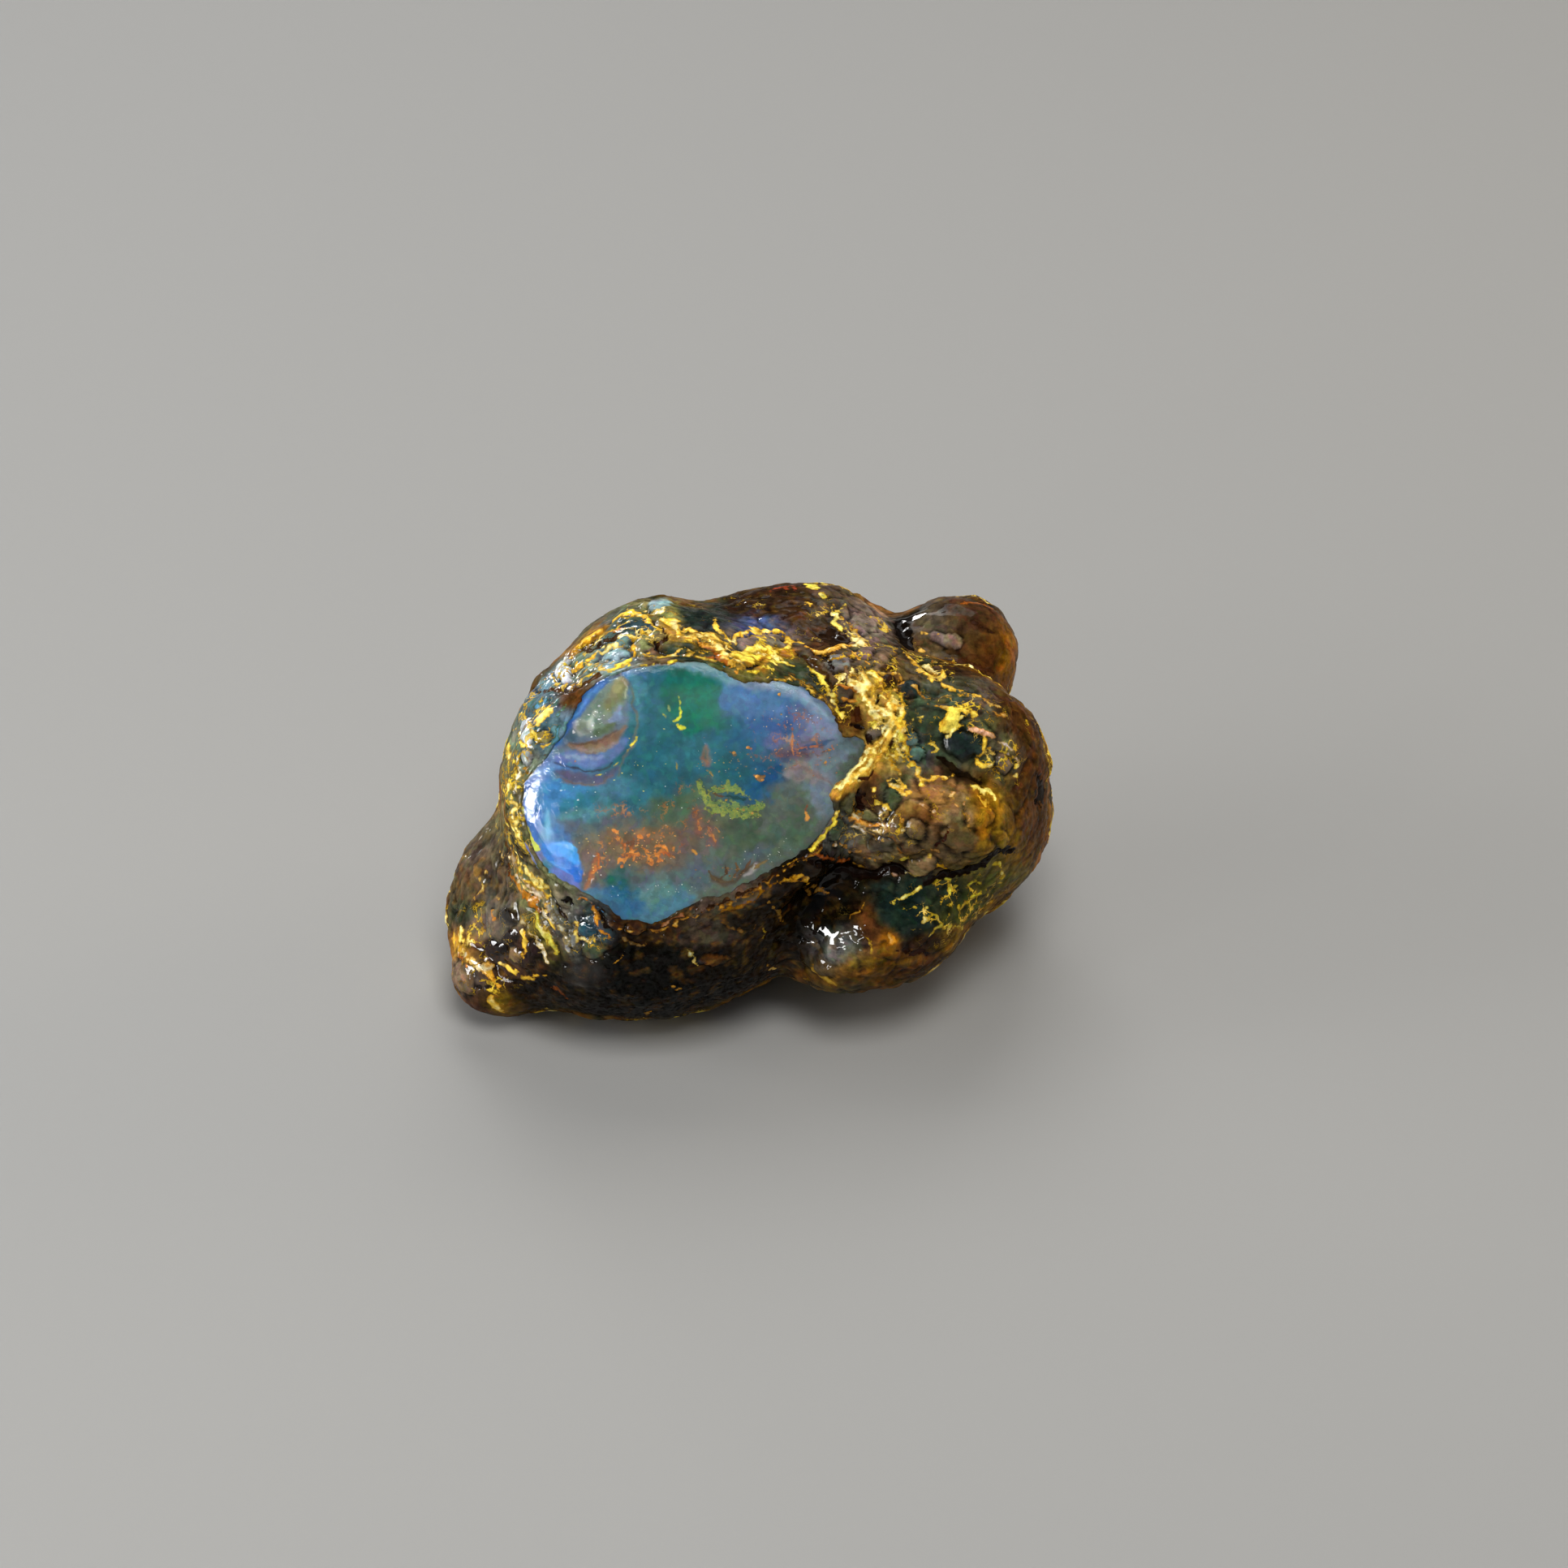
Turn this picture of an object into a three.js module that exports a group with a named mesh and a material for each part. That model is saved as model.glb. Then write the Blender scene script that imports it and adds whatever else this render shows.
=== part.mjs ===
// A rough nodule of blue amber, lying on its worn underside.
//
// Millimetres, +Z up. The origin is on the resting face, under the middle of the nodule's bounding box.
// The window, the smooth clear face that shows the blue, looks forwards (-Y) and up.
//
// The nodule formed as one piece, so it is one solid: a smooth union of rounded lobes, with grooves where
// they meet. The lobes are laid out on the window's own axes, from the middle of the nodule: right along the
// window, up it and out of it.

import * as THREE from "three";
import { mergeVertices } from "three/addons/utils/BufferGeometryUtils.js";

// Driving dimensions
const WINDOW_ELEVATION = THREE.MathUtils.degToRad(38); // the window's normal, above the horizon
const REST_HEIGHT = 18.6; // from the middle of the nodule down to its resting face
const REST_ROUNDING = 1.2; // how softly the worn underside meets the flanks
const MESH_DETAIL = 19; // splits along each edge of the icosahedron that the surface starts from
const REACH = new THREE.Vector3(45, 33, 32); // half-axes of a ball that is well outside every lobe
const BISECTIONS = 24; // halvings of REACH on the way to the surface
const RELAXINGS = 16; // rounds that even the triangles out
const RELAX_STEP = 0.6; // share of the way to its neighbours' middle that a corner goes in a round
const SETTLINGS = 3; // steps of a corner back onto the surface after each round
const PROBE = 0.01; // step over which the surface's slope is taken
const LEAST_SLOPE = 0.01; // squared slope below which a corner isn't moved further
const SNAP = 0.02; // corners this near the resting face lie on it

// Each lobe is a rounded ellipsoid: its middle and half-axes as [right, up, out], how far it is turned about
// the window's normal in degrees, how flat its front and back are (2 is a plain ellipsoid), and the width of
// the fillet that joins it to the lobes before it.
const LOBES = [
  { name: "dome", at: [-6.5, 0.3, -2], half: [17.4, 17.8, 15.8], turn: 0, flat: 2.8, fillet: 0 },
  { name: "shoulder", at: [-9, 12.5, -5], half: [7, 6.5, 10], turn: 15, flat: 2, fillet: 4 },
  { name: "belly", at: [-10.5, -11.3, -0.5], half: [15, 9.6, 12.5], turn: 6, flat: 2, fillet: 5 },
  { name: "nose", at: [-22.4, -10, -5], half: [6.8, 8.8, 8], turn: -8, flat: 2, fillet: 3 },
  { name: "nose tip", at: [-24, -16.4, -1.5], half: [4.7, 4.7, 5], turn: 0, flat: 2, fillet: 2 },
  { name: "back ridge", at: [5, 13.2, -8.5], half: [10.5, 7.9, 11.5], turn: -5, flat: 2, fillet: 4 },
  { name: "body", at: [14, 1, -5], half: [15.2, 13.2, 16], turn: -25, flat: 2.5, fillet: 4 },
  { name: "saddle", at: [9, 6.5, 1], half: [8, 8, 10.5], turn: 0, flat: 2.4, fillet: 4 },
  { name: "knob", at: [18.8, 13.6, -10.5], half: [6, 5.9, 8], turn: 0, flat: 2.6, fillet: 2 },
  { name: "knob corner", at: [21.8, 14.6, -11], half: [3.8, 4.6, 7], turn: 15, flat: 2.6, fillet: 3 },
  { name: "brow", at: [21.6, 6.4, 3], half: [6.8, 4.4, 7.5], turn: -35, flat: 2, fillet: 3 },
  { name: "cheek", at: [17.2, -2, 6], half: [8.6, 4.6, 7.5], turn: -8, flat: 2.2, fillet: 1.5 },
  { name: "heel", at: [12.4, -12, 2], half: [9.4, 5.8, 9], turn: 24, flat: 2, fillet: 2 },
  { name: "foot", at: [11, -8, -10], half: [9, 8, 8], turn: 0, flat: 2.2, fillet: 3 },
  { name: "rump", at: [-8, -3.5, -12], half: [12, 10, 9], turn: 20, flat: 2, fillet: 3 },
  { name: "tail", at: [11, 4, -17], half: [8, 7, 6], turn: -20, flat: 2, fillet: 3 },
  { name: "window", at: [-6.1, 0.9, 10.6], half: [16.5, 12.9, 4.9], turn: 4, flat: 3, fillet: 1.5 },
];

/** Turns a place on the nodule's own axes into one on the window's. */
function toWindow(p) {
  const s = Math.sin(WINDOW_ELEVATION);
  const c = Math.cos(WINDOW_ELEVATION);
  return new THREE.Vector3(p.x, p.y * s + p.z * c, -p.y * c + p.z * s);
}

/** A minimum of two distances whose crease is filleted over a width. */
function softMin(a, b, width) {
  if (width <= 0) return Math.min(a, b);
  const h = Math.max(width - Math.abs(a - b), 0) / width;
  return Math.min(a, b) - (h * h * width) / 4;
}

/** About how far a place on the window's axes is outside a lobe, negative inside it. */
function lobeDistance(lobe, w) {
  const turn = THREE.MathUtils.degToRad(lobe.turn);
  const dx = w.x - lobe.at[0];
  const dy = w.y - lobe.at[1];
  const x = (dx * Math.cos(turn) + dy * Math.sin(turn)) / lobe.half[0];
  const y = (-dx * Math.sin(turn) + dy * Math.cos(turn)) / lobe.half[1];
  const z = (w.z - lobe.at[2]) / lobe.half[2];
  const around = Math.hypot(x, y) ** lobe.flat;
  const share = (around + Math.abs(z) ** lobe.flat) ** (1 / lobe.flat);
  const slope = Math.hypot(x / lobe.half[0], y / lobe.half[1], z / lobe.half[2]);
  return slope > 0 ? (Math.hypot(x, y, z) * (share - 1)) / slope : -Math.min(...lobe.half);
}

/** About how far a place is outside the nodule, negative inside it. */
function noduleDistance(p) {
  const w = toWindow(p);
  const lumps = LOBES.reduce(
    (d, lobe) => softMin(d, lobeDistance(lobe, w), lobe.fillet),
    Infinity,
  );
  return -softMin(-lumps, REST_HEIGHT + p.z, REST_ROUNDING);
}

/** The place where a ray from the middle of the nodule leaves it. */
function alongRay(reach) {
  let inside = 0;
  let outside = 1;
  for (let i = 0; i < BISECTIONS; i += 1) {
    const t = (inside + outside) / 2;
    if (noduleDistance(reach.clone().multiplyScalar(t)) < 0) inside = t;
    else outside = t;
  }
  return reach.clone().multiplyScalar(inside);
}

/** Moves a place onto the nodule's surface, along the steepest way there. */
function settle(p) {
  const slope = new THREE.Vector3();
  for (let i = 0; i < SETTLINGS; i += 1) {
    const d = noduleDistance(p);
    for (const axis of ["x", "y", "z"]) {
      const q = p.clone();
      q[axis] += PROBE;
      slope[axis] = (noduleDistance(q) - d) / PROBE;
    }
    p.addScaledVector(slope, -d / Math.max(slope.lengthSq(), LEAST_SLOPE));
  }
  return p;
}

/** The corners that each corner of an indexed mesh shares an edge with. */
function neighboursOf(skin) {
  const sets = Array.from({ length: skin.getAttribute("position").count }, () => new Set());
  const index = skin.getIndex().array;
  for (let i = 0; i < index.length; i += 3) {
    for (const [a, b] of [[0, 1], [1, 2], [2, 0]]) {
      sets[index[i + a]].add(index[i + b]);
      sets[index[i + b]].add(index[i + a]);
    }
  }
  return sets.map((set) => [...set]);
}

/** The nodule's skin, as one closed mesh with its middle at the origin. */
function noduleGeometry() {
  const ball = new THREE.IcosahedronGeometry(1, MESH_DETAIL);
  ball.deleteAttribute("normal");
  ball.deleteAttribute("uv");
  const skin = mergeVertices(ball);
  const position = skin.getAttribute("position");
  const neighbours = neighboursOf(skin);
  let corners = neighbours.map((_, i) => {
    const p = new THREE.Vector3().fromBufferAttribute(position, i).multiply(REACH);
    return alongRay(p);
  });
  for (let round = 0; round < RELAXINGS; round += 1) {
    corners = corners.map((p, i) => {
      const mean = new THREE.Vector3();
      neighbours[i].forEach((n) => mean.addScaledVector(corners[n], 1 / neighbours[i].length));
      return settle(mean.lerp(p, 1 - RELAX_STEP));
    });
  }
  corners.forEach((p, i) => {
    const resting = p.z < SNAP - REST_HEIGHT;
    position.setXYZ(i, p.x, p.y, resting ? -REST_HEIGHT : p.z);
  });
  skin.computeVertexNormals();
  return skin;
}

const amber = new THREE.MeshStandardMaterial({ color: 0x6b5226, roughness: 0.12, metalness: 0 });

const nodule = new THREE.Mesh(noduleGeometry(), amber);
nodule.name = "amber_nodule";
nodule.geometry.computeBoundingBox();
const middle = nodule.geometry.boundingBox.getCenter(new THREE.Vector3());
nodule.position.set(-middle.x, -middle.y, REST_HEIGHT);

const part = new THREE.Group();
part.add(nodule);

export default part;
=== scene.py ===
"""Looks of a rough nodule of blue amber: its crust, its clear window and what is sealed under the window.

Lengths are in millimetres until a mesh is handed to Blender, which takes metres. Places on the front of the
nodule are given on a chart that faces the window: right along it and up it, from the nodule's middle.
"""

from __future__ import annotations

import logging
import math
from dataclasses import dataclass, field
from enum import Enum
from functools import partial

import bmesh
import bpy
import numpy as np
from mathutils import Matrix, Vector, noise
from mathutils.bvhtree import BVHTree

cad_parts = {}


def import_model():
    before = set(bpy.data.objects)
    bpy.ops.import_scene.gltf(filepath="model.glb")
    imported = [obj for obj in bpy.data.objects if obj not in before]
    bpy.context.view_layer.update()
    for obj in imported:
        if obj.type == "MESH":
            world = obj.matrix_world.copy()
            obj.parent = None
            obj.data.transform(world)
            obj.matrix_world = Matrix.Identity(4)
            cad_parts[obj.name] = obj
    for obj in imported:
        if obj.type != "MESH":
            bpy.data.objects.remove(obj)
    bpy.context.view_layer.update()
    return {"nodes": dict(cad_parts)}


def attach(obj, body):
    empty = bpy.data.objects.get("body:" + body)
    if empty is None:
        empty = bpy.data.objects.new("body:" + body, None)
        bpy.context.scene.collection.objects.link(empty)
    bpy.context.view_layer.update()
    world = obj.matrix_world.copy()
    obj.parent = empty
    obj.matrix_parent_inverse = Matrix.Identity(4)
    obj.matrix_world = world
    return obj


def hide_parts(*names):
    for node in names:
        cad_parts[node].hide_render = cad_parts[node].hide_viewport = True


LOG = logging.getLogger("blue_amber")
NODE = "amber_nodule"
BODY = "root"
# A millimetre in metres.
MM = 0.001
# How far outside the window everything counts as that can't be seen from the front, in millimetres.
FAR = 50.0
# How far from a line a place is still measured; beyond that it counts as this far, in millimetres.
REACH = 1.2
# How strongly amber bends light.
AMBER_IOR = 1.54

Spot = tuple[float, float]
Socket = bpy.types.NodeSocket


def linear(colour: str) -> np.ndarray:
    """Turns an sRGB hex colour into linear light.

    Args:
        colour: The colour, such as "#c98a1e".

    Returns:
        Its red, green and blue, from 0 to 1.
    """
    parts = np.array([int(colour[i : i + 2], 16) for i in (1, 3, 5)]) / 255
    return np.where(parts <= 0.04045, parts / 12.92, ((parts + 0.055) / 1.055) ** 2.4)


def rgba(colour: str) -> tuple[float, float, float, float]:
    """Turns an sRGB hex colour into what a shader's colour socket takes."""
    return (*(float(part) for part in linear(colour)), 1.0)


def ramp(value: np.ndarray, low: float, high: float) -> np.ndarray:
    """Rises smoothly from 0 where value is low to 1 where it is high."""
    t = np.clip((value - low) / (high - low), 0, 1)
    return t * t * (3 - 2 * t)


def unit(vectors: np.ndarray) -> np.ndarray:
    """Scales each row to a length of 1."""
    return vectors / np.maximum(np.linalg.norm(vectors, axis=-1, keepdims=True), 1e-9)


# --- The chart and what is drawn on it ---


@dataclass(frozen=True)
class Chart:
    """The window's axes, from the nodule's middle, and the flat chart drawn along them.

    The chart is drawn in perspective from an eye in front of the window, so that a place on it lies where a
    person who looks at the window sees it.

    Attributes:
        middle: The window's middle on the nodule's own axes.
        elevation: How far the window looks upwards, in degrees.
        eye: How far the eye is from the chart.
        aim: The place on the chart that the eye is straight in front of.
    """

    middle: tuple[float, float, float] = (0.2, -3.3, 18.6)
    elevation: float = 38.0
    eye: float = 413.0
    aim: Spot = (3.2, 1.5)

    def axes(self) -> np.ndarray:
        """The window's right, up and out axes as rows."""
        s, c = math.sin(math.radians(self.elevation)), math.cos(math.radians(self.elevation))
        return np.array([(1, 0, 0), (0, s, c), (0, -c, s)])

    def flat(self, places: np.ndarray) -> np.ndarray:
        """Finds where places on the nodule are seen on the chart.

        Args:
            places: Points on the nodule, in millimetres.

        Returns:
            Their right and up on the chart.
        """
        w = (places - np.array(self.middle)) @ self.axes().T
        aim = np.array(self.aim)
        return (w[:, :2] - aim) * (self.eye / (self.eye - w[:, 2:])) + aim

    def eye_place(self) -> np.ndarray:
        """The eye that the chart is drawn from, on the nodule's own axes."""
        return np.array(self.middle) + np.array([*self.aim, self.eye]) @ self.axes()

    def ray(self, spot: Spot) -> tuple[np.ndarray, np.ndarray]:
        """The eye, and the direction from it towards a place on the chart."""
        start = self.eye_place()
        end = np.array(self.middle) + np.array([*spot, 0.0]) @ self.axes()
        return start, unit(end - start)


CHART = Chart()


class Milk(str, Enum):
    """The shades of the milky heart's clouds."""

    LILAC = "#7088b8"
    RIM_BLUE = "#2a5898"
    SKY = "#3a76a2"
    STEEL = "#44709a"
    SLATE = "#566890"
    VIOLET = "#686c94"
    PALE = "#7c8ca8"
    MIST = "#70808c"
    MAUVE = "#887c78"
    PLUM = "#6c687a"
    DEEP = "#1a5678"
    MARINE = "#245484"
    TEAL = "#286270"
    SEA = "#2a6e82"
    POND = "#1e5a66"
    LAGOON = "#3c6e80"
    FERN = "#425a44"
    EMERALD = "#005648"
    JADE = "#006450"
    SAGE = "#525f50"
    FROST = "#547a78"
    UMBER = "#6a5a44"
    CLAY = "#605448"
    SMOKE = "#4c5a60"


class Rind(str, Enum):
    """The shades of the crust's clouds and pebbles."""

    SOOT = "#100e0a"
    PITCH = "#1c140a"
    TAR = "#2a1e10"
    BARK = "#3c2816"
    WALNUT = "#4c3420"
    CHESTNUT = "#5a3a18"
    RUSSET = "#7a5228"
    COGNAC = "#946214"
    HONEY = "#8a681a"
    AMBER = "#a87c1c"
    STRAW = "#bc9848"
    TOFFEE = "#9a7040"
    SAND = "#8a7450"
    SOIL = "#6a5638"
    DUST = "#5c5040"
    DRIFT = "#7a6a54"
    ROSE = "#88766a"
    PEWTER = "#74726a"
    GLASS_GREEN = "#20322a"
    MIDNIGHT = "#2c3834"
    MOSS = "#3c4430"
    FERN = "#48523e"
    OLIVE = "#565638"
    LIME_BROWN = "#585a20"
    KHAKI = "#6c6430"
    LICHEN = "#7e7a54"
    WHEAT = "#948a50"
    LAKE = "#2c5464"
    TEAL = "#405458"
    SPRUCE = "#5a6c64"
    STONE_BLUE = "#607c84"
    SKY = "#7496a0"
    ICE = "#90aaac"
    CELADON = "#80907a"
    SLATE = "#46587c"
    IVORY = "#e2eaea"
    ASH = "#b4b6b6"
    PLUM = "#2a1c18"


@dataclass(frozen=True)
class Cloud:
    """A soft patch of colour: its middle, half-axes, turn in degrees and how strongly it counts."""

    colour: str
    at: Spot
    half: Spot
    turn: float = 0.0
    weight: float = 1.0

    def share(self, flat: np.ndarray) -> np.ndarray:
        """How strongly the patch counts at each place on the chart."""
        return self.weight / (1 + 1.5 * lengthwise(flat, self.at, self.half, self.turn) ** 2) ** 3


@dataclass(frozen=True)
class Pebble:
    """A rounded grain of the crust, with a groove round it: its colour, place, size and height."""

    colour: str
    at: Spot
    half: Spot
    turn: float = 0.0
    height: float = 0.3


@dataclass(frozen=True)
class Patch:
    """A soft patch of some quality: its middle, half-axes, turn in degrees and how much of it there is."""

    at: Spot
    half: Spot
    turn: float
    much: float


def clouds(laid: dict[str, tuple[tuple[float, ...], ...]]) -> tuple[Cloud, ...]:
    """Lays clouds out by shade: each row is a place, two half-axes and, where needed, a turn and a weight."""
    return tuple(Cloud(shade, row[:2], row[2:4], *row[4:]) for shade, rows in laid.items() for row in rows)


def pebbles(*rows: tuple) -> tuple[Pebble, ...]:
    """Lays pebbles out: each row is a shade, a place, two half-axes, a turn and a height."""
    return tuple(Pebble(row[0], row[1:3], row[3:5], *row[5:]) for row in rows)


def patches(*rows: tuple[float, ...]) -> tuple[Patch, ...]:
    """Lays patches out: each row is a place, two half-axes, a turn and how much there is."""
    return tuple(Patch(row[:2], row[2:4], *row[4:]) for row in rows)


def most(laid: tuple[Patch, ...], flat: np.ndarray) -> np.ndarray:
    """How much of the patches' quality there is at each place on the chart."""
    return np.max([p.much * np.exp(-(lengthwise(flat, p.at, p.half, p.turn) ** 2)) for p in laid], 0)


class Line:
    """A drawn line: a vein, a fibre, a groove or a crack, as wide as its widths say along it."""

    def __init__(self, colour: str, widths: float | tuple[float, ...], *points: Spot, lift: float = 0.0,
                 blur: float = 0.12) -> None:
        """Draws the line.

        Args:
            colour: Its sRGB colour.
            widths: Its width in its middle, or its widths at even steps from its start to its end.
            points: The places that it goes through.
            lift: How far it stands out of the surface; negative is a groove.
            blur: The width of its soft edge.
        """
        self.colour, self.lift, self.blur = colour, lift, blur
        ends = widths if isinstance(widths, tuple) else (0.45 * widths, widths, 0.45 * widths)
        self.path = smooth_path(np.array(points, float))
        steps = np.linspace(0, 1, len(self.path))
        if len(steps) == 1:
            ends = (max(ends), max(ends))
        self.half = np.interp(steps, np.linspace(0, 1, len(ends)), ends) / 2

    def outside(self, flat: np.ndarray) -> np.ndarray:
        """About how far each place is outside the line, negative inside it, and at most REACH."""
        found = np.full(len(flat), REACH)
        pad = REACH + self.half.max()
        low, high = self.path.min(0) - pad, self.path.max(0) + pad
        near = np.flatnonzero(((flat > low) & (flat < high)).all(1))
        if not len(near):
            return found
        spots, least = flat[near], found[near]
        if len(self.path) == 1:
            least = np.minimum(least, np.linalg.norm(spots - self.path[0], axis=1) - self.half[0])
        for a, b, wa, wb in zip(self.path, self.path[1:], self.half, self.half[1:]):
            along = b - a
            t = np.clip(((spots - a) @ along) / max(along @ along, 1e-9), 0, 1)
            gap = np.linalg.norm(spots - a - t[:, None] * along, axis=1) - (wa + t * (wb - wa))
            least = np.minimum(least, gap)
        found[near] = least
        return found


def strokes(*rows: tuple) -> tuple[Line, ...]:
    """Draws crisp lines: each row is a colour, a lift, the widths and the places."""
    return tuple(Line(colour, widths, *points, lift=lift) for colour, lift, widths, *points in rows)


def shapes(*rows: tuple) -> tuple[Line, ...]:
    """Draws soft-edged shapes: each row is a colour, a blur, the widths and the places."""
    return tuple(Line(colour, widths, *points, blur=blur) for colour, blur, widths, *points in rows)


def smooth_path(points: np.ndarray, closed: bool = False, step: float = 0.45) -> np.ndarray:
    """Threads a smooth curve through points.

    Args:
        points: The points, in order.
        closed: Whether the curve returns to its first point.
        step: About how far apart the points of the result are.

    Returns:
        Points on the curve. A closed one doesn't repeat its first point.
    """
    if len(points) < 3 and not closed:
        return points
    ends = (points[-1:], points[:2]) if closed else (points[:1], points[-1:])
    p = np.vstack([ends[0], points, ends[1]])
    found = []
    for a, b, c, d in zip(p, p[1:], p[2:], p[3:]):
        for t in np.arange(0, 1, 1 / max(1, round(float(np.linalg.norm(c - b)) / step))):
            bend = (2 * b, c - a, 2 * a - 5 * b + 4 * c - d, 3 * b - a - 3 * c + d)
            found.append(sum(k * t**i for i, k in enumerate(bend)) / 2)
    if not closed:
        found.append(points[-1])
    return np.array(found)


def bundle(colours: tuple[str, ...], width: float, lift: float, *points: Spot) -> tuple[Line, ...]:
    """Draws a fibrous vein as thin strands that part and meet round one path.

    Args:
        colours: Each strand's colour.
        width: About how wide the whole bundle is.
        lift: How far each strand stands out of the surface.
        points: The places that the vein goes through.

    Returns:
        The strands.
    """
    middle = smooth_path(np.array(points, float), step=0.6)
    along = unit(np.gradient(middle, axis=0))
    across = np.stack([-along[:, 1], along[:, 0]], 1)
    run = np.cumsum(np.linalg.norm(np.diff(middle, axis=0, prepend=middle[:1]), axis=1))
    strands = []
    for i, colour in enumerate(colours):
        # Two waves that don't keep step, so that the strands part and meet unevenly.
        sway = math.sin(2.4 * i) + 0.5 * np.sin(1.7 * run / width + 2.1 * i)
        sway = sway + 0.3 * np.sin(3.9 * run / width + 4.7 * i)
        path = middle + across * (sway * width * 0.32)[:, None]
        stout = width * (0.2 + 0.14 * math.sin(1.3 * i + 0.6))
        widths = (0.4 * stout, stout, 0.7 * stout, 1.2 * stout, 0.3 * stout)
        strands.append(Line(colour, widths, *path, lift=lift))
    return tuple(strands)


def lengthwise(flat: np.ndarray, at: Spot, half: Spot, turn: float) -> np.ndarray:
    """How far places are from the middle of an ellipse, where its outline is at 1."""
    s, c = math.sin(math.radians(turn)), math.cos(math.radians(turn))
    d = flat - np.array(at)
    return np.hypot((d[:, 0] * c + d[:, 1] * s) / half[0], (-d[:, 0] * s + d[:, 1] * c) / half[1])


def outline_distance(flat: np.ndarray, points: np.ndarray, reach: float = 4.0) -> np.ndarray:
    """How far places on the chart are outside a closed outline, negative inside it, and at most reach."""
    found = np.full(len(flat), reach)
    near = np.flatnonzero(((flat > points.min(0) - reach) & (flat < points.max(0) + reach)).all(1))
    flat = flat[near]
    least = np.full(len(flat), reach)
    inside = np.zeros(len(flat), bool)
    x, y = flat.T
    for a, b in zip(points, np.roll(points, -1, 0)):
        along = b - a
        t = np.clip(((flat - a) @ along) / max(along @ along, 1e-9), 0, 1)
        least = np.minimum(least, np.linalg.norm(flat - a - t[:, None] * along, axis=1))
        if a[1] != b[1]:
            crosses = (a[1] > y) != (b[1] > y)
            inside ^= crosses & (x < (b[0] - a[0]) * (y - a[1]) / (b[1] - a[1]) + a[0])
    found[near] = np.where(inside, -least, least)
    return found


def rough(places: np.ndarray, size: float, seed: float = 0.0) -> np.ndarray:
    """Smooth noise from about -1 to 1, with bumps about size millimetres apart."""
    shift = (seed * 17.3, seed * 5.1, seed * 9.7)
    return np.array([noise.noise(p) for p in (places / size + shift).tolist()]) * 1.6


def crinkles(places: np.ndarray, size: float) -> np.ndarray:
    """Sharp-crested wrinkles of many widths, from about -1 to 1, the widest about size millimetres apart."""
    settings = (0.9, 2.1, 4, 1.0, 2.0)
    return np.array([noise.ridged_multi_fractal(p, *settings) for p in (places / size).tolist()]) - 1.1


def cells(places: np.ndarray, size: float) -> tuple[np.ndarray, np.ndarray]:
    """Splits space into rounded grains.

    Args:
        places: Points, in millimetres.
        size: About how wide a grain is, in millimetres.

    Returns:
        How far each point is from the edge of its grain, and a number from 0 to 1 for each grain.
    """
    edge, kind = np.empty(len(places)), np.empty(len(places))
    for i, p in enumerate((places / size).tolist()):
        gaps, seeds = noise.voronoi(p)
        edge[i] = (gaps[1] - gaps[0]) / 2 * size
        kind[i] = math.sin(seeds[0].x * 12.99 + seeds[0].y * 78.23 + seeds[0].z * 37.72) * 43758.5 % 1
    return edge, kind


WINDOW = smooth_path(
    np.array(
        [
            (-21.9, 0.3), (-21.7, -2.4), (-20.6, -4.8), (-19.2, -7.1), (-17.3, -8.3), (-15.7, -9),
            (-14.1, -9.9), (-12.3, -11.4), (-10.2, -11.8), (-8.6, -11.9), (-7.2, -11), (-5.3, -9.9),
            (-2.8, -9.3), (-0.5, -8.2), (1.8, -6.9), (3.4, -5.8), (5.3, -4.9), (7.1, -3.1), (8.3, -1.1),
            (7.9, 0.3), (9, 1.9), (10.4, 3.6), (11.1, 5.2), (10.1, 6.1), (9, 6.3), (8.3, 7.9),
            (6.9, 9.7), (5.1, 10.9), (2.5, 11.4), (0, 11.5), (-2.1, 12.1), (-4.2, 13.1), (-6.5, 13.4),
            (-8.8, 13.1), (-11.1, 12.7), (-12.9, 12.1), (-14.8, 11.4), (-16.2, 9.8), (-17.6, 7),
            (-19.2, 4.5), (-20.6, 3.1), (-21.5, 1.7),
        ]
    ),
    closed=True,
    step=0.8,
)


# --- What shows in the milky heart under the window ---

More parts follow.
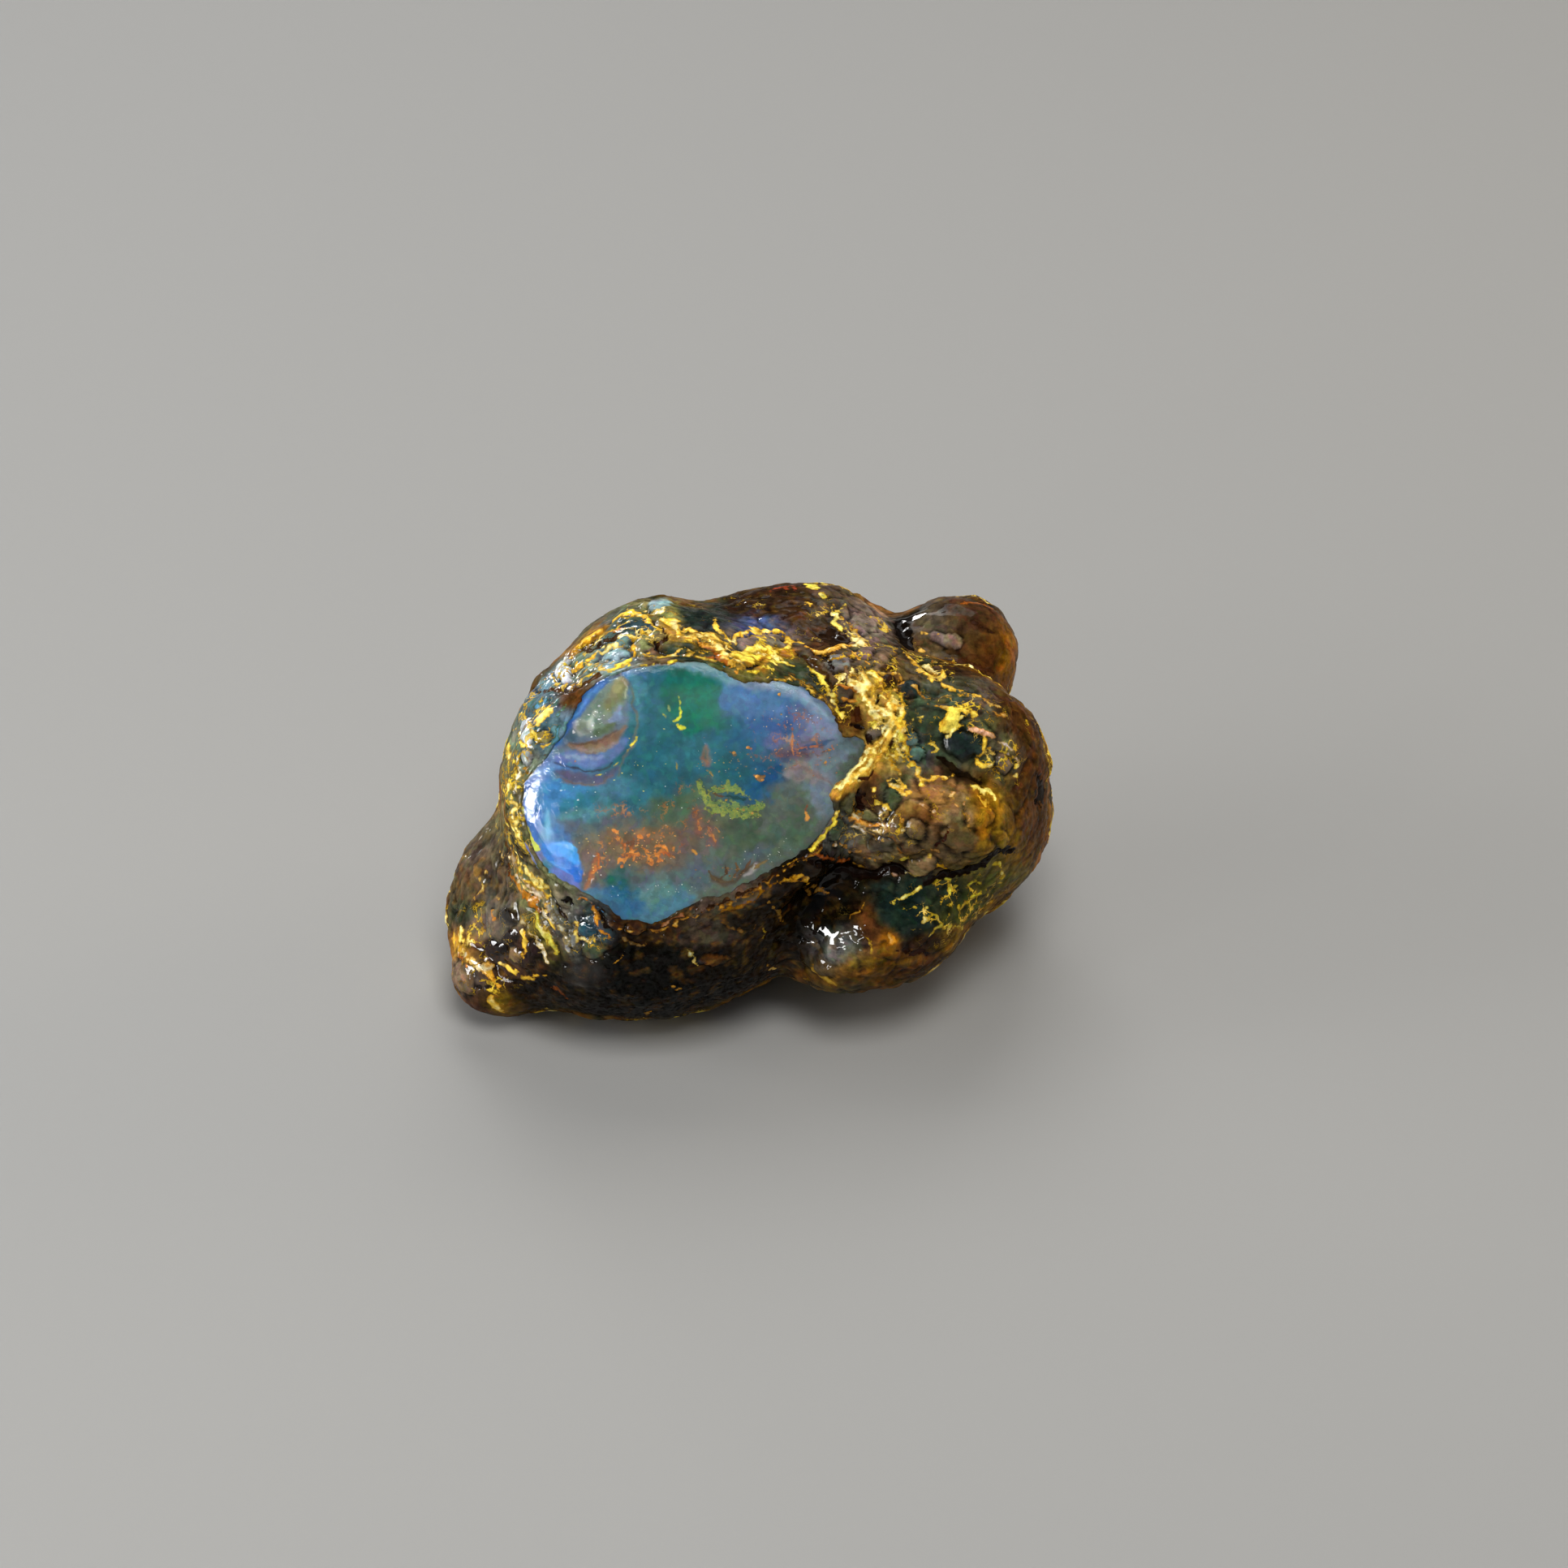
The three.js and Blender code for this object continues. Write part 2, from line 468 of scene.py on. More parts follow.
HEART_CLOUDS = clouds({
    Milk.LILAC: ((-20.8, 2.6, 1.1, 0.9),),
    Milk.RIM_BLUE: ((-21, -0.2, 0.7, 1.8), (-20.9, -2.3, 0.6, 1.6)),
    Milk.SKY: ((-19, -1.2, 0.8, 1.8, 0, 1.2), (-18.8, 0.8, 0.9, 0.8), (-17.4, 1, 1.2, 0.7)),
    Milk.STEEL: ((-18.2, -3.2, 0.7, 0.7), (-11.4, 11.8, 0.9, 0.7), (-1.3, 10, 0.9, 1.3, 0, 1.2),
        (0.4, 8.6, 1.6, 1.2), (2.6, 9.2, 1.6, 0.9)),
    Milk.VIOLET: ((-20.6, -5.4, 0.7, 1, 60),),
    Milk.SEA: ((-19.2, -7, 0.9, 0.7, 40), (-16.2, -0.4, 1.8, 0.8)),
    Milk.LAGOON: ((-12.8, 1.2, 1.6, 0.8), (-10.7, 10, 0.7, 1.8), (-9.2, -11.2, 1.1, 0.8),
        (-7.2, -9.6, 1.6, 0.9, 20), (-15, -9, 0.8, 0.6)),
    Milk.SMOKE: ((-13.6, -1.6, 1.8, 0.9), (-16.6, -2.4, 1.2, 1), (0.6, -5.4, 1.3, 0.7, 25),
        (-10.4, -7.4, 1.8, 0.9), (-5, -7, 1.4, 1)),
    Milk.TEAL: ((-10.6, 0.2, 1.8, 1.2), (-3, 5.2, 1.8, 1.6), (-5.8, 4.4, 1.8, 1.5)),
    Milk.POND: ((-9.8, 4.2, 1.8, 2), (-8.2, 6, 1.8, 1.4), (-9.2, 10.2, 0.9, 1.8, 0, 1.2), (-2, 3.2, 1.6, 1),
        (-7.6, 2, 2, 1.2)),
    Milk.EMERALD: ((-7, 10.4, 1.3, 1.7, 0, 1.5), (-12.6, -7.8, 1.2, 0.8, 0, 1.3)),
    Milk.JADE: ((-4.7, 9.8, 1.4, 1.6, 0, 2.4), (-5.9, 8.3, 1.4, 0.8, 0, 1.4), (-4.6, 7, 1.8, 0.7)),
    Milk.MARINE: ((1.8, 7, 1.8, 1),),
    Milk.SLATE: ((4.6, 8.2, 1.3, 1), (2.8, 5.9, 1.4, 0.8, 10)),
    Milk.PALE: ((6.4, 7, 1, 1.2),),
    Milk.PLUM: ((4.8, 5.2, 1.6, 1),),
    Milk.DEEP: ((-0.6, 6, 1.6, 1.2), (1.6, 3, 1.4, 1, 0, 1.4), (0.9, 1.2, 1, 0.8),
        (-12.8, -9.3, 1.3, 0.9, 0, 1.4), (-11, -10.4, 1.3, 0.8)),
    Milk.MAUVE: ((4.8, 2.6, 1.8, 0.6, -12, 1.2),),
    Milk.MIST: ((6.8, 3.6, 1.1, 0.9), (8.6, 4.8, 1, 1), (6.4, 0.6, 1, 1.2)),
    Milk.SAGE: ((9.6, 3.6, 0.8, 1.2), (4, 0.4, 1.3, 1), (4.2, -1.6, 1.6, 1.1), (1.8, -2, 1.2, 0.8),
        (-2.6, -4.6, 1.2, 1), (2.6, -5, 1, 0.6, 30), (-3.6, -8.8, 1.6, 0.7, 20), (-0.2, -7.6, 1.4, 0.7, 20),
        (2.4, -6.3, 1.2, 0.5, 25)),
    Milk.FERN: ((-7.6, -0.6, 1.8, 1.2), (-5.6, 0.4, 1, 1.2), (3.6, -3.2, 1.6, 1.1), (-0.8, -3.8, 1.6, 0.9)),
    Milk.UMBER: ((-13.4, -4, 1.6, 1.2), (-9.6, -4.6, 2.4, 1.4)),
    Milk.CLAY: ((-5, -2.4, 0.9, 1.4), (-4, -4, 1.2, 1), (-6.6, -5, 1.2, 1.2), (-14.4, -6.6, 0.9, 1.4)),
    Milk.FROST: ((-8.6, -8.4, 1.4, 0.9),),
})

HEART_SHAPES = shapes(
    # Bright facets of blue fire near the lower left rim, over deep blue and violet ones.
    ("#2a6cb4", 0.3, (1.2, 2.4, 2.2, 1.4), (-19.2, -4.6), (-18, -5.2), (-17.2, -6), (-16.7, -6.8)),
    ("#5666a4", 0.5, (1.4, 1.5, 0.7), (-18.4, -6.9), (-17.3, -7.5), (-16.4, -8.5)),
    ("#3f8cd0", 0.12, (0.7, 1.5, 1, 0.4), (-18.7, -4.5), (-17.9, -4.6), (-17, -5), (-16.4, -5.8)),
    ("#68a8dc", 0.12, (0.2, 0.5, 0.4, 0.1), (-18.4, -4.2), (-17.8, -4.15), (-17.1, -4.5), (-16.7, -5)),
    ("#1a60b0", 0.12, (0.3, 1, 1.1, 0.4), (-17.8, -5.6), (-17, -6.2), (-16.5, -6.9), (-16.3, -7.6)),
    ("#3f86cc", 0.15, (0.1, 0.5, 0.1), (-18.9, -5.9), (-18, -6.2), (-17.2, -6.9)),
    ("#62a0b8", 0.3, 0.7, (-19.3, -1.2), (-19, -2.4), (-18.9, -3.4)),
    # The pale bevel along the top and the upper right edge: a painted reflection of the light above it.
    ("#5f8a94", 0.7, (0.5, 1, 1.2, 0.8), (-7.6, 12.9), (-5.6, 12.6), (-3.4, 12), (-1.6, 11.3)),
    ("#8098b0", 0.8, (0.4, 1.2, 1.5, 1.5, 1.1, 0.6), (-1.8, 11.2), (0.4, 10.9), (2.6, 10.8), (4.6, 10.1),
     (6.4, 8.8), (7.8, 7.2)),
    ("#9cb4c8", 0.5, (0.2, 0.6, 0.8, 0.5, 0.2), (0.6, 11), (2.8, 10.9), (4.8, 10.2), (6.4, 8.9), (7.6, 7.6)),
    # The eye: a grey-green middle with a pale dome, a brown band and a blue crescent round its lower side.
    ("#5a6876", 0.7, (1, 2.4, 3.4, 3.6, 2), (-18.2, 4.4), (-16, 4.6), (-14.2, 6), (-13.2, 8.4),
     (-12.6, 10.6)),
    ("#66766a", 0.6, (2.2, 3.2, 3, 1.8), (-15.6, 7.2), (-14.4, 8), (-13.4, 9.2), (-12.8, 10.4)),
    ("#6e6a48", 0.6, (0.8, 1.6, 1), (-13.6, 8.8), (-12.8, 9.8), (-12.2, 10.8)),
    ("#4f6044", 0.5, 0.9, (-14.9, 6.2), (-13.8, 6.4), (-12.9, 7.2)),
    ("#84805c", 0.4, (0.9, 1.5), (-12.8, 10.4), (-12.3, 11.1)),
    ("#848c84", 0.4, (1.7,), (-15.8, 7)),
    ("#6d7468", 0.3, (1.2,), (-15.7, 6.9)),
    ("#b4b8ac", 0.4, 0.4, (-15.2, 6.6), (-15, 7.5), (-14.6, 8.3)),
    ("#7484a4", 0.4, (0.6, 0.9, 0.4), (-13.3, 7.6), (-12.6, 8), (-12.2, 8.8)),
    ("#566c98", 0.5, (0.5, 1.3, 1.5, 1.3, 0.9), (-18.8, 3.8), (-16.8, 3.9), (-14.8, 3.8), (-13, 4.4),
     (-12.1, 5.4)),
    ("#7888a8", 0.4, 0.5, (-17.4, 3.9), (-15.6, 4.1), (-13.8, 4.1)),
    ("#7a5e48", 0.35, (0.5, 1, 1, 0.8, 0.3), (-16.8, 5.2), (-15.4, 5.1), (-14, 5.2), (-12.9, 5.8),
     (-12, 6.7)),
    ("#847264", 0.35, (0.3, 0.5, 0.5, 0.2), (-16.6, 4.9), (-15, 4.8), (-13.6, 4.9), (-12.6, 5.4)),
    ("#5a3c24", 0.3, (0.1, 0.25, 0.2, 0.1), (-16.9, 5.5), (-15.4, 5.5), (-14, 5.7), (-12.8, 6.4)),
    ("#2c5892", 0.4, (1.1, 1.4, 1.2, 0.9), (-14.2, 11.4), (-15.3, 10), (-16.4, 8.5), (-17.5, 7.1),
     (-18.4, 5.6)),
    ("#4c78b0", 0.4, (0.2, 0.5, 0.3), (-14.1, 11.2), (-15.1, 9.9), (-16.4, 8.1)),
    ("#4a3826", 0.5, 0.7, (-13.4, 11.8), (-12.4, 12.1)),
    # The brown lip under the eye, its dark outline and the fainter one on its right.
    ("#4a4c60", 0.7, (0.5, 1, 0.9, 0.5), (-18.2, 2.4), (-16.2, 2), (-14.2, 2), (-12.6, 2.9)),
    ("#6a5244", 0.35, (0.1, 0.25, 0.2, 0.1), (-18.1, 2), (-16.2, 1.5), (-14.6, 1.6), (-13.2, 2.2)),
    ("#2c2c30", 0.22, (0.1, 0.2, 0.2, 0.1), (-18.4, 3.5), (-17.2, 2.9), (-15.6, 2.7), (-14, 2.9), (-13, 3.5)),
    ("#5c5a46", 0.3, (0.12, 0.22, 0.22, 0.12), (-12.6, 2.2), (-11.7, 3.9), (-11, 5.7), (-10.8, 7.6),
     (-11.1, 9.4), (-11.4, 10.8)),
    ("#a8a890", 0.18, 0.18, (-12, 11.4), (-11.8, 10.4), (-11.9, 9.6)),
    # Soft orange fire over the brown ground, and reddish smears beside it.
    ("#745c44", 0.5, (0.5, 1.2, 0.6), (-13.6, -2.6), (-12.9, -3.1), (-12.4, -4)),
    ("#9a6c46", 0.5, (0.4, 0.9, 0.5), (-10.9, -2.9), (-10.3, -3.2)),
    ("#745c44", 0.5, (0.6, 1.3, 0.7), (-9.8, -3.2), (-9.2, -3.9), (-9, -4.6)),
    ("#745c44", 0.45, 1.1, (-8.6, -4.4), (-7.8, -4.6), (-7.3, -5.3)),
    ("#745c44", 0.5, (0.5, 1.2, 0.6), (-11.8, -5.4), (-10.9, -5.1), (-10.2, -5.6)),
    ("#745c44", 0.5, (0.4, 1, 0.5), (-9.6, -5.2), (-8.9, -5.6), (-8, -5.9)),
    ("#94603c", 0.4, (0.3, 0.6, 0.5, 0.3), (-14.6, -5.2), (-14.9, -6.4), (-15.2, -7.6), (-15.6, -8.4)),
    ("#7a5848", 0.7, (0.3, 0.7, 0.4), (-5.2, -1.2), (-4.8, -2.2), (-4.9, -3.2)),
    ("#7c5644", 0.7, (0.2, 0.6, 0.3), (-4, -2.8), (-3.5, -3.8), (-3.2, -4.6)),
    # A dark blue kidney, a brown stain with a dendrite, and twigs at the lower right edge.
    ("#0f4670", 0.35, (0.6, 1.1, 0.8, 0.5), (2.7, 3), (2.1, 2.5), (1.4, 1.9), (0.6, 0.9)),
    ("#5c4a58", 0.8, (0.4, 1.1, 0.7), (2.6, 4.2), (4, 4.4), (5.4, 4.2)),
    ("#7c6460", 0.5, (0.1, 0.3, 0.3, 0.1), (3, 2.9), (5, 2.9), (7, 2.2), (8, 1.2)),
    ("#3a5272", 0.3, (0.5, 0.5, 0.15), (4.4, 4.6), (6, 5.2), (7.6, 5.6)),
    ("#86604c", 0.5, 0.8, (-4.2, 4.9), (-4.1, 4.1), (-3.9, 3.4)),
    ("#3f5c58", 0.3, 0.5, (-4.2, 4.6), (-4.05, 4.1)),
    ("#4a3822", 0.4, (0.2, 0.5, 0.4, 0.5, 0.2), (-3.8, -7.1), (-2.6, -7.9), (-1.4, -7.4), (-0.6, -6.6),
     (0.8, -6)),
    # Painted highlight: a pale grey glassy gleam among the twigs.
    ("#a4a098", 0.3, 0.5, (-0.6, -7.2), (0, -6.8), (0.6, -6.2)),
    # Faint fans of paler haze across the middle.
    ("#4a7c84", 1, 1, (-18, -1.6), (-15.4, -1.4), (-12.8, -0.8)),
    ("#6a7c8c", 0.8, 0.7, (5.2, 1.6), (6.4, 0.4), (7.2, -1)),
)

HEART_MARKS = strokes(
    # Brown twigs at the lower right edge.
    ("#5c4a30", 0, (0.08, 0.22, 0.22, 0.08), (-4, -6.8), (-3.4, -7.4), (-2.6, -7.7), (-1.7, -7.5)),
    ("#5a3c22", 0, 0.2, (-2.9, -7.6), (-2.4, -6.9), (-2.4, -6.2)),
    ("#7a5a34", 0, 0.22, (-1.8, -7.4), (-1.3, -6.6), (-1.4, -5.8)),
    ("#6a4a30", 0, 0.2, (-1.2, -7), (-0.5, -6.4), (0, -5.6)),
    ("#8a7040", 0, 0.3, (0.2, -6.6), (1, -6), (1.6, -5.6)),
    # Yellow flecks on the outline of the eye.
    ("#e8dc48", 0, 0.45, (-11.3, 5.1), (-10.8, 5.8)),
    ("#d8cc44", 0, 0.36, (-12.9, 3.2), (-12.4, 3.6)),
    ("#d8cc44", 0, 0.36, (-14.6, 2.3), (-14, 2.5)),
    ("#c8b83c", 0, 0.26, (-11.7, 4.4), (-11.4, 4.8)),
    # The yellow squiggle and spot in the emerald patch.
    ("#c8dc48", 0, (0.06, 0.1, 0.14), (-6.8, 9.7), (-6.75, 9), (-6.65, 8.4)),
    ("#e4ec40", 0, (0.12, 0.3, 0.34, 0.26, 0.14), (-6.6, 8.5), (-6.7, 7.9), (-7, 7.6), (-7.35, 7.5)),
    ("#f0f03c", 0, (0.2, 0.56, 0.44, 0.2), (-6.95, 7.15), (-6.65, 6.85), (-6.2, 6.85)),
    ("#88a068", 0, 0.34, (-7.8, 9), (-7.7, 8.5)),
    ("#a8b448", 0, 0.3, (-8.3, 8.2), (-8.05, 7.9)),
    ("#b8a444", 0, 0.24, (-7, 3.6), (-7, 2.8)),
    ("#d88c54", 0, (0.08, 0.2, 0.1), (3.9, 6.9), (4, 5.6), (4.05, 4.2)),
    ("#c8805c", 0, 0.12, (4.05, 4.6), (5.2, 5), (6.4, 5.1)),
    ("#b07c68", 0, 0.12, (4, 4.3), (4.9, 4.2), (5.8, 4.4)),
    # Yellow-green lace at the left rim.
    ("#c8c840", 0, 0.5, (-21.7, -0.7), (-21.6, -1.6)),
    ("#d8d84a", 0, (0.3, 0.8, 0.7), (-21.5, -2.4), (-21.3, -3.1), (-21, -3.7)),
    ("#c8d050", 0, (0.4, 0.9, 0.3), (-20.9, -4), (-20.5, -4.5), (-20, -4.7)),
    # Gold in the orange ground, and clusters in the right half.
    ("#f09c44", 0, 0.5, (-8.2, -4.4), (-7.8, -4.8)),
    ("#e0a048", 0, 0.5, (-5.4, -4.8), (-5, -5.2)),
    ("#c89040", 0, (0.1, 0.4, 0.1), (-3.3, -2.6), (-2.9, -3.1)),
    ("#d87a3a", 0, 0.4, (-14.5, -5.2), (-14.4, -6.2)),
    ("#eca84c", 0, 0.5, (5.3, -1.2), (5.3, -1.9)),
    ("#9c5038", 0, 0.4, (5.3, -0.6), (5.3, -1.1)),
    ("#a87c4c", 0, (0.2, 0.6, 0.3), (0.3, 2.4), (0.9, 2.1), (1.3, 2.3)),
    ("#8c6c48", 0, 0.5, (-1.9, 4.5), (-1.4, 4.2)),
    ("#e08c60", 0, 0.4, (-0.3, 5.1), (0, 4.8)),
    ("#f09868", 0, 0.46, (7.6, 5), (7.8, 4.6)),
    ("#c0a058", 0, 0.3, (-3.8, 2.7), (-3.6, 2.3)),
)

FIRE = strokes(
    # Ragged crumbs of orange fire.
    ("#d88444", 0, (0.2, 0.5, 0.3), (-13.2, -2.6), (-12.6, -3.2), (-12.3, -3.8)),
    ("#cc7438", 0, 0.5, (-10.8, -3), (-10.2, -3.1)),
    ("#e08c44", 0, (0.2, 0.6, 0.3), (-9.6, -3.4), (-9.1, -4.2), (-8.9, -4.7)),
    ("#e89c4c", 0, 0.5, (-8.4, -4.4), (-7.6, -4.7)),
    ("#dc8844", 0, 0.6, (-11.5, -5.3), (-10.6, -5.2)),
    ("#d88444", 0, 0.5, (-9.4, -5.3), (-8.4, -5.8)),
    ("#b86840", 0, 0.4, (-14.7, -5.8), (-15, -7)),
    ("#8c6048", 0, 0.3, (-5, -1.6), (-4.8, -2.8)),
    ("#946448", 0, 0.3, (-3.8, -3.2), (-3.4, -4.2)),
    ("#c08040", 0, 0.4, (-12.2, -6.2), (-11.6, -5.9)),
)

FLAKE = strokes(
    # The yellow-green flake in the middle: two ragged lobes, like lips, round a dark slit.
    ("#96a650", 0, (0.2, 0.5, 0.8, 0.8, 0.9, 0.9, 0.7, 0.3), (-4.8, 1.8), (-4.5, 0.7), (-4, -0.3), (-3, -0.8),
     (-2, -1.1), (-1, -1.5), (0, -1.6), (0.9, -1.6)),
    ("#86a256", 0, (0.3, 0.8, 1, 0.8, 0.3), (-3.9, 0.8), (-3, 1.1), (-2.2, 1.2), (-1.3, 1), (-0.4, 0.4)),
    ("#7aa45c", 0, (0.4, 0.9, 0.5), (-0.8, -1), (0.2, -0.8), (1.2, -0.4)),
    ("#6c9668", 0, (0.2, 0.6, 0.6, 0.2), (-3.4, 0), (-2.4, -0.4), (-1.4, -0.6), (-0.6, -0.7)),
    ("#9cac50", 0, (0.3, 0.5, 0.3), (-4.1, 0.2), (-3.6, 0.7)),
)

SLIT = strokes(
    ("#1c484c", 0, (0.1, 0.35, 0.3, 0.1), (-2.3, 0.35), (-1.6, 0.3), (-0.9, 0.15), (-0.4, -0.05)),
    ("#6a4c38", 0, 0.26, (-3.5, 0.5), (-2.9, 0.4), (-2.4, 0.4)),
)

HEART_WEBS = patches(
    (-9.8, -4.4, 3.8, 2, 0, 0.12), (3.6, 5.6, 4.4, 3.4, 0, 0.1), (-5.6, -0.4, 3.6, 2.6, 0, 0.09),
    (-11.5, -1.4, 4, 1.2, 0, 0.09), (-14.4, -6, 1, 2.4, -15, 0.08), (-4.4, -3, 1.4, 2.2, 15, 0.06),
    (4.4, 4.4, 2.6, 1.6, 0, 0.09),
)


# --- What shows on the crust ---

CRUST_CLOUDS = clouds({
    Rind.LICHEN: ((-22.6, 1, 1.2, 4.5), (23.6, 4.8, 1.6, 1.8), (-20.6, -8.8, 1.4, 2, 45)),
    Rind.STONE_BLUE: ((-20.2, 8.2, 2, 2.4),),
    Rind.CELADON: ((-21.8, 5, 1.2, 1.6), (-16, 13.2, 1.6, 1.2, 35)),
    Rind.CHESTNUT: ((-17.2, 10, 1.5, 1, 10), (4.6, 17.3, 1.2, 0.7), (10.2, 8, 0.9, 1.6), (22.4, 14, 1.6, 2.2),
        (25.6, 8.4, 1.8, 4), (27, 1.2, 1.4, 4), (10.9, -11.4, 1.2, 1.4), (14.6, -16, 2.6, 0.9, 15)),
    Rind.SKY: ((-18.9, 12, 1.4, 1.2),),
    Rind.ICE: ((-13, 14, 1.8, 0.8, 20),),
    Rind.SPRUCE: ((-11, 16.2, 2.2, 1, 15), (15.6, 4.8, 1, 1.4)),
    Rind.WHEAT: ((-8.4, 17, 1.6, 1.4),),
    Rind.SOIL: ((-9, 14.2, 1.2, 1.2), (8.8, 12.6, 1.6, 1.4), (16.6, 13.6, 1.6, 1.4), (18.8, -3.6, 2.4, 1.4),
        (15.4, -3.6, 1.2, 1.4), (16.4, -6.4, 1.8, 0.9), (-27, -8, 1.4, 1.6)),
    Rind.KHAKI: ((-5, 15, 2.2, 1, -20), (1, 13.4, 2.6, 0.7), (23.4, -8.2, 1.8, 2), (-19.6, -12.8, 1, 2, 20)),
    Rind.GLASS_GREEN: ((-6, 14, 2.8, 0.6, -8, 1.4), (14.6, -9.8, 2.2, 1.6, 0, 2.2),
        (15.8, -11.4, 2, 1.2, 0, 1.4)),
    Rind.MIDNIGHT: ((-4, 18, 2.2, 1.4),),
    Rind.BARK: ((-1, 18.6, 2.6, 1.4), (4, 18.6, 2.2, 1.6), (19.4, 13, 1.4, 1.2), (16.2, -13.6, 1.4, 0.9),
        (-11, -12.4, 1.2, 1), (-8.6, -12.8, 2.4, 0.8, 10)),
    Rind.SLATE: ((0.8, 17, 2, 0.8, -10, 1.6),),
    Rind.ROSE: ((1.1, 15, 2.2, 0.8), (11, 16.6, 1.6, 1.2), (-27, -16.6, 1.2, 1.4)),
    Rind.MOSS: ((4.8, 11.9, 1.8, 0.8, -40), (18.6, -9.2, 2, 1.2, 0, 1.3), (-27.6, -10.6, 1.2, 1.2)),
    Rind.DUST: ((6.4, 18.6, 1.6, 1.2), (8.8, 10.4, 1.2, 1.2), (17.8, 16.4, 1.8, 1.2), (21.6, 9.6, 1.8, 1.4),
        (-4.2, -12.8, 2, 0.9), (-1.6, -9.8, 2.8, 0.7, 25), (-26.6, -5, 1.4, 1.6), (-24.8, -8.2, 1.6, 1.6),
        (-23.6, -6, 1, 1.4)),
    Rind.WALNUT: ((7.2, 14.8, 1.8, 1.6), (20.8, 16.6, 2.2, 2), (10.6, 0, 1.2, 1.6), (-22.6, -14.2, 2.2, 1.6),
        (-23.6, -16.8, 2.2, 0.9, -15), (-26, -19.2, 1.2, 1.2)),
    Rind.DRIFT: ((11.2, 14.2, 1.8, 1.2), (-24.2, -11.8, 1.8, 1.4)),
    Rind.STRAW: ((12.4, 8.8, 1.4, 3), (12.6, 5.2, 1.6, 1.4)),
    Rind.RUSSET: ((10.2, 2.4, 1.4, 1, 40), (16.8, -1.2, 1.8, 1.2)),
    Rind.SOOT: ((14.6, 16.2, 0.9, 1.8), (7.4, -10, 2, 3.4, 0, 2), (-8.6, -14.8, 3.8, 1.4, 0, 2),
        (-8, -18, 5, 2), (-12.6, -17, 2, 1.6)),
    Rind.COGNAC: ((24.8, 13.4, 0.9, 2.6), (13.2, -13.4, 0.8, 1)),
    Rind.FERN: ((18.6, 9.6, 2.6, 1.4), (16, 7.8, 1.6, 2.2), (20.2, 5.4, 2.2, 1.4, -20), (13.4, 0.4, 0.9, 1.2),
        (8, -16.9, 1.6, 0.8)),
    Rind.TAR: ((19.6, 2.6, 2, 0.6, -25), (4.6, -7.4, 2, 0.8, 15), (-3.5, -15, 1.8, 0.8),
        (0.8, -11.6, 1.8, 1.4), (2, -16.6, 2, 1.4)),
    Rind.TOFFEE: ((17.6, 0.2, 2.2, 1.2), (-27.2, -14, 1.6, 1.4)),
    Rind.SAND: ((19.4, -1.4, 1.8, 1.4), (11.2, -2, 1.2, 0.9), (12.2, -4.4, 1.4, 1)),
    Rind.AMBER: ((22.4, -0.8, 1.2, 2),),
    Rind.HONEY: ((23.6, -3.4, 1.6, 2), (20.6, -13.2, 1.8, 1.2), (10.4, -16, 2.4, 0.9), (-24, -19.4, 1, 0.8)),
    Rind.OLIVE: ((9.4, -0.6, 0.9, 1.2),),
    Rind.PEWTER: ((8.4, -3.2, 1.2, 1.2), (8.2, -13.8, 1.4, 1.4), (-18, -12, 1.1, 2.4, 30)),
    Rind.PITCH: ((9.5, -6.7, 4, 0.7, -3, 2), (3.2, -11, 2, 1.8, 0, 1.5), (-2.8, -17.2, 2.6, 1.2),
        (-21.4, -17.8, 2.4, 0.8), (-16, -17.2, 3, 1.6)),
    Rind.LIME_BROWN: ((20.6, -10.6, 2, 1.4),),
    Rind.TEAL: ((-15.2, -12.8, 1, 1.3),),
})

CRUST_SHAPES = shapes(
    # Amber-orange beds under the pale fork and the yellow masses.
    ("#d0a850", 1, (1.2, 2.4, 2.4, 1.6), (10.8, 11.6), (11.2, 9.4), (12.3, 7.6), (13, 5.8)),
    ("#d8a444", 0.9, (1.2, 2, 2, 1.2), (12.8, 5.6), (11.6, 4), (9.9, 2.5), (8.2, 0.8)),
    ("#b8862c", 0.8, (1, 1.8, 1.2), (-0.8, 13.6), (1.4, 13.8), (3.4, 14.2)),
    ("#b08a3c", 0.8, (1.2, 1.8, 1.2), (-8.2, 16.6), (-5.8, 15.8), (-3, 14.6)),
    ("#a8782a", 0.8, (1, 1.4, 1), (-17.8, 13.9), (-15.8, 15.2), (-14, 16.4)),
    ("#a8781c", 1.4, (1, 1.6, 1), (22, 0.4), (22.8, -1.2), (22.6, -3)),
    ("#8c6618", 1.4, (0.6, 1.6, 1.6, 1), (19, -14), (20.8, -13.2), (22.6, -11.4), (24.6, -8.6)),
    ("#7a5414", 1.4, (0.8, 1.5, 1.5, 0.8), (4.4, -16.8), (8.4, -17), (12.4, -16.4), (16, -15.2)),
    ("#c8962c", 0.8, (0.6, 1.2, 0.8), (-27.6, -12.6), (-27.6, -14.4), (-26.2, -15.4)),
)

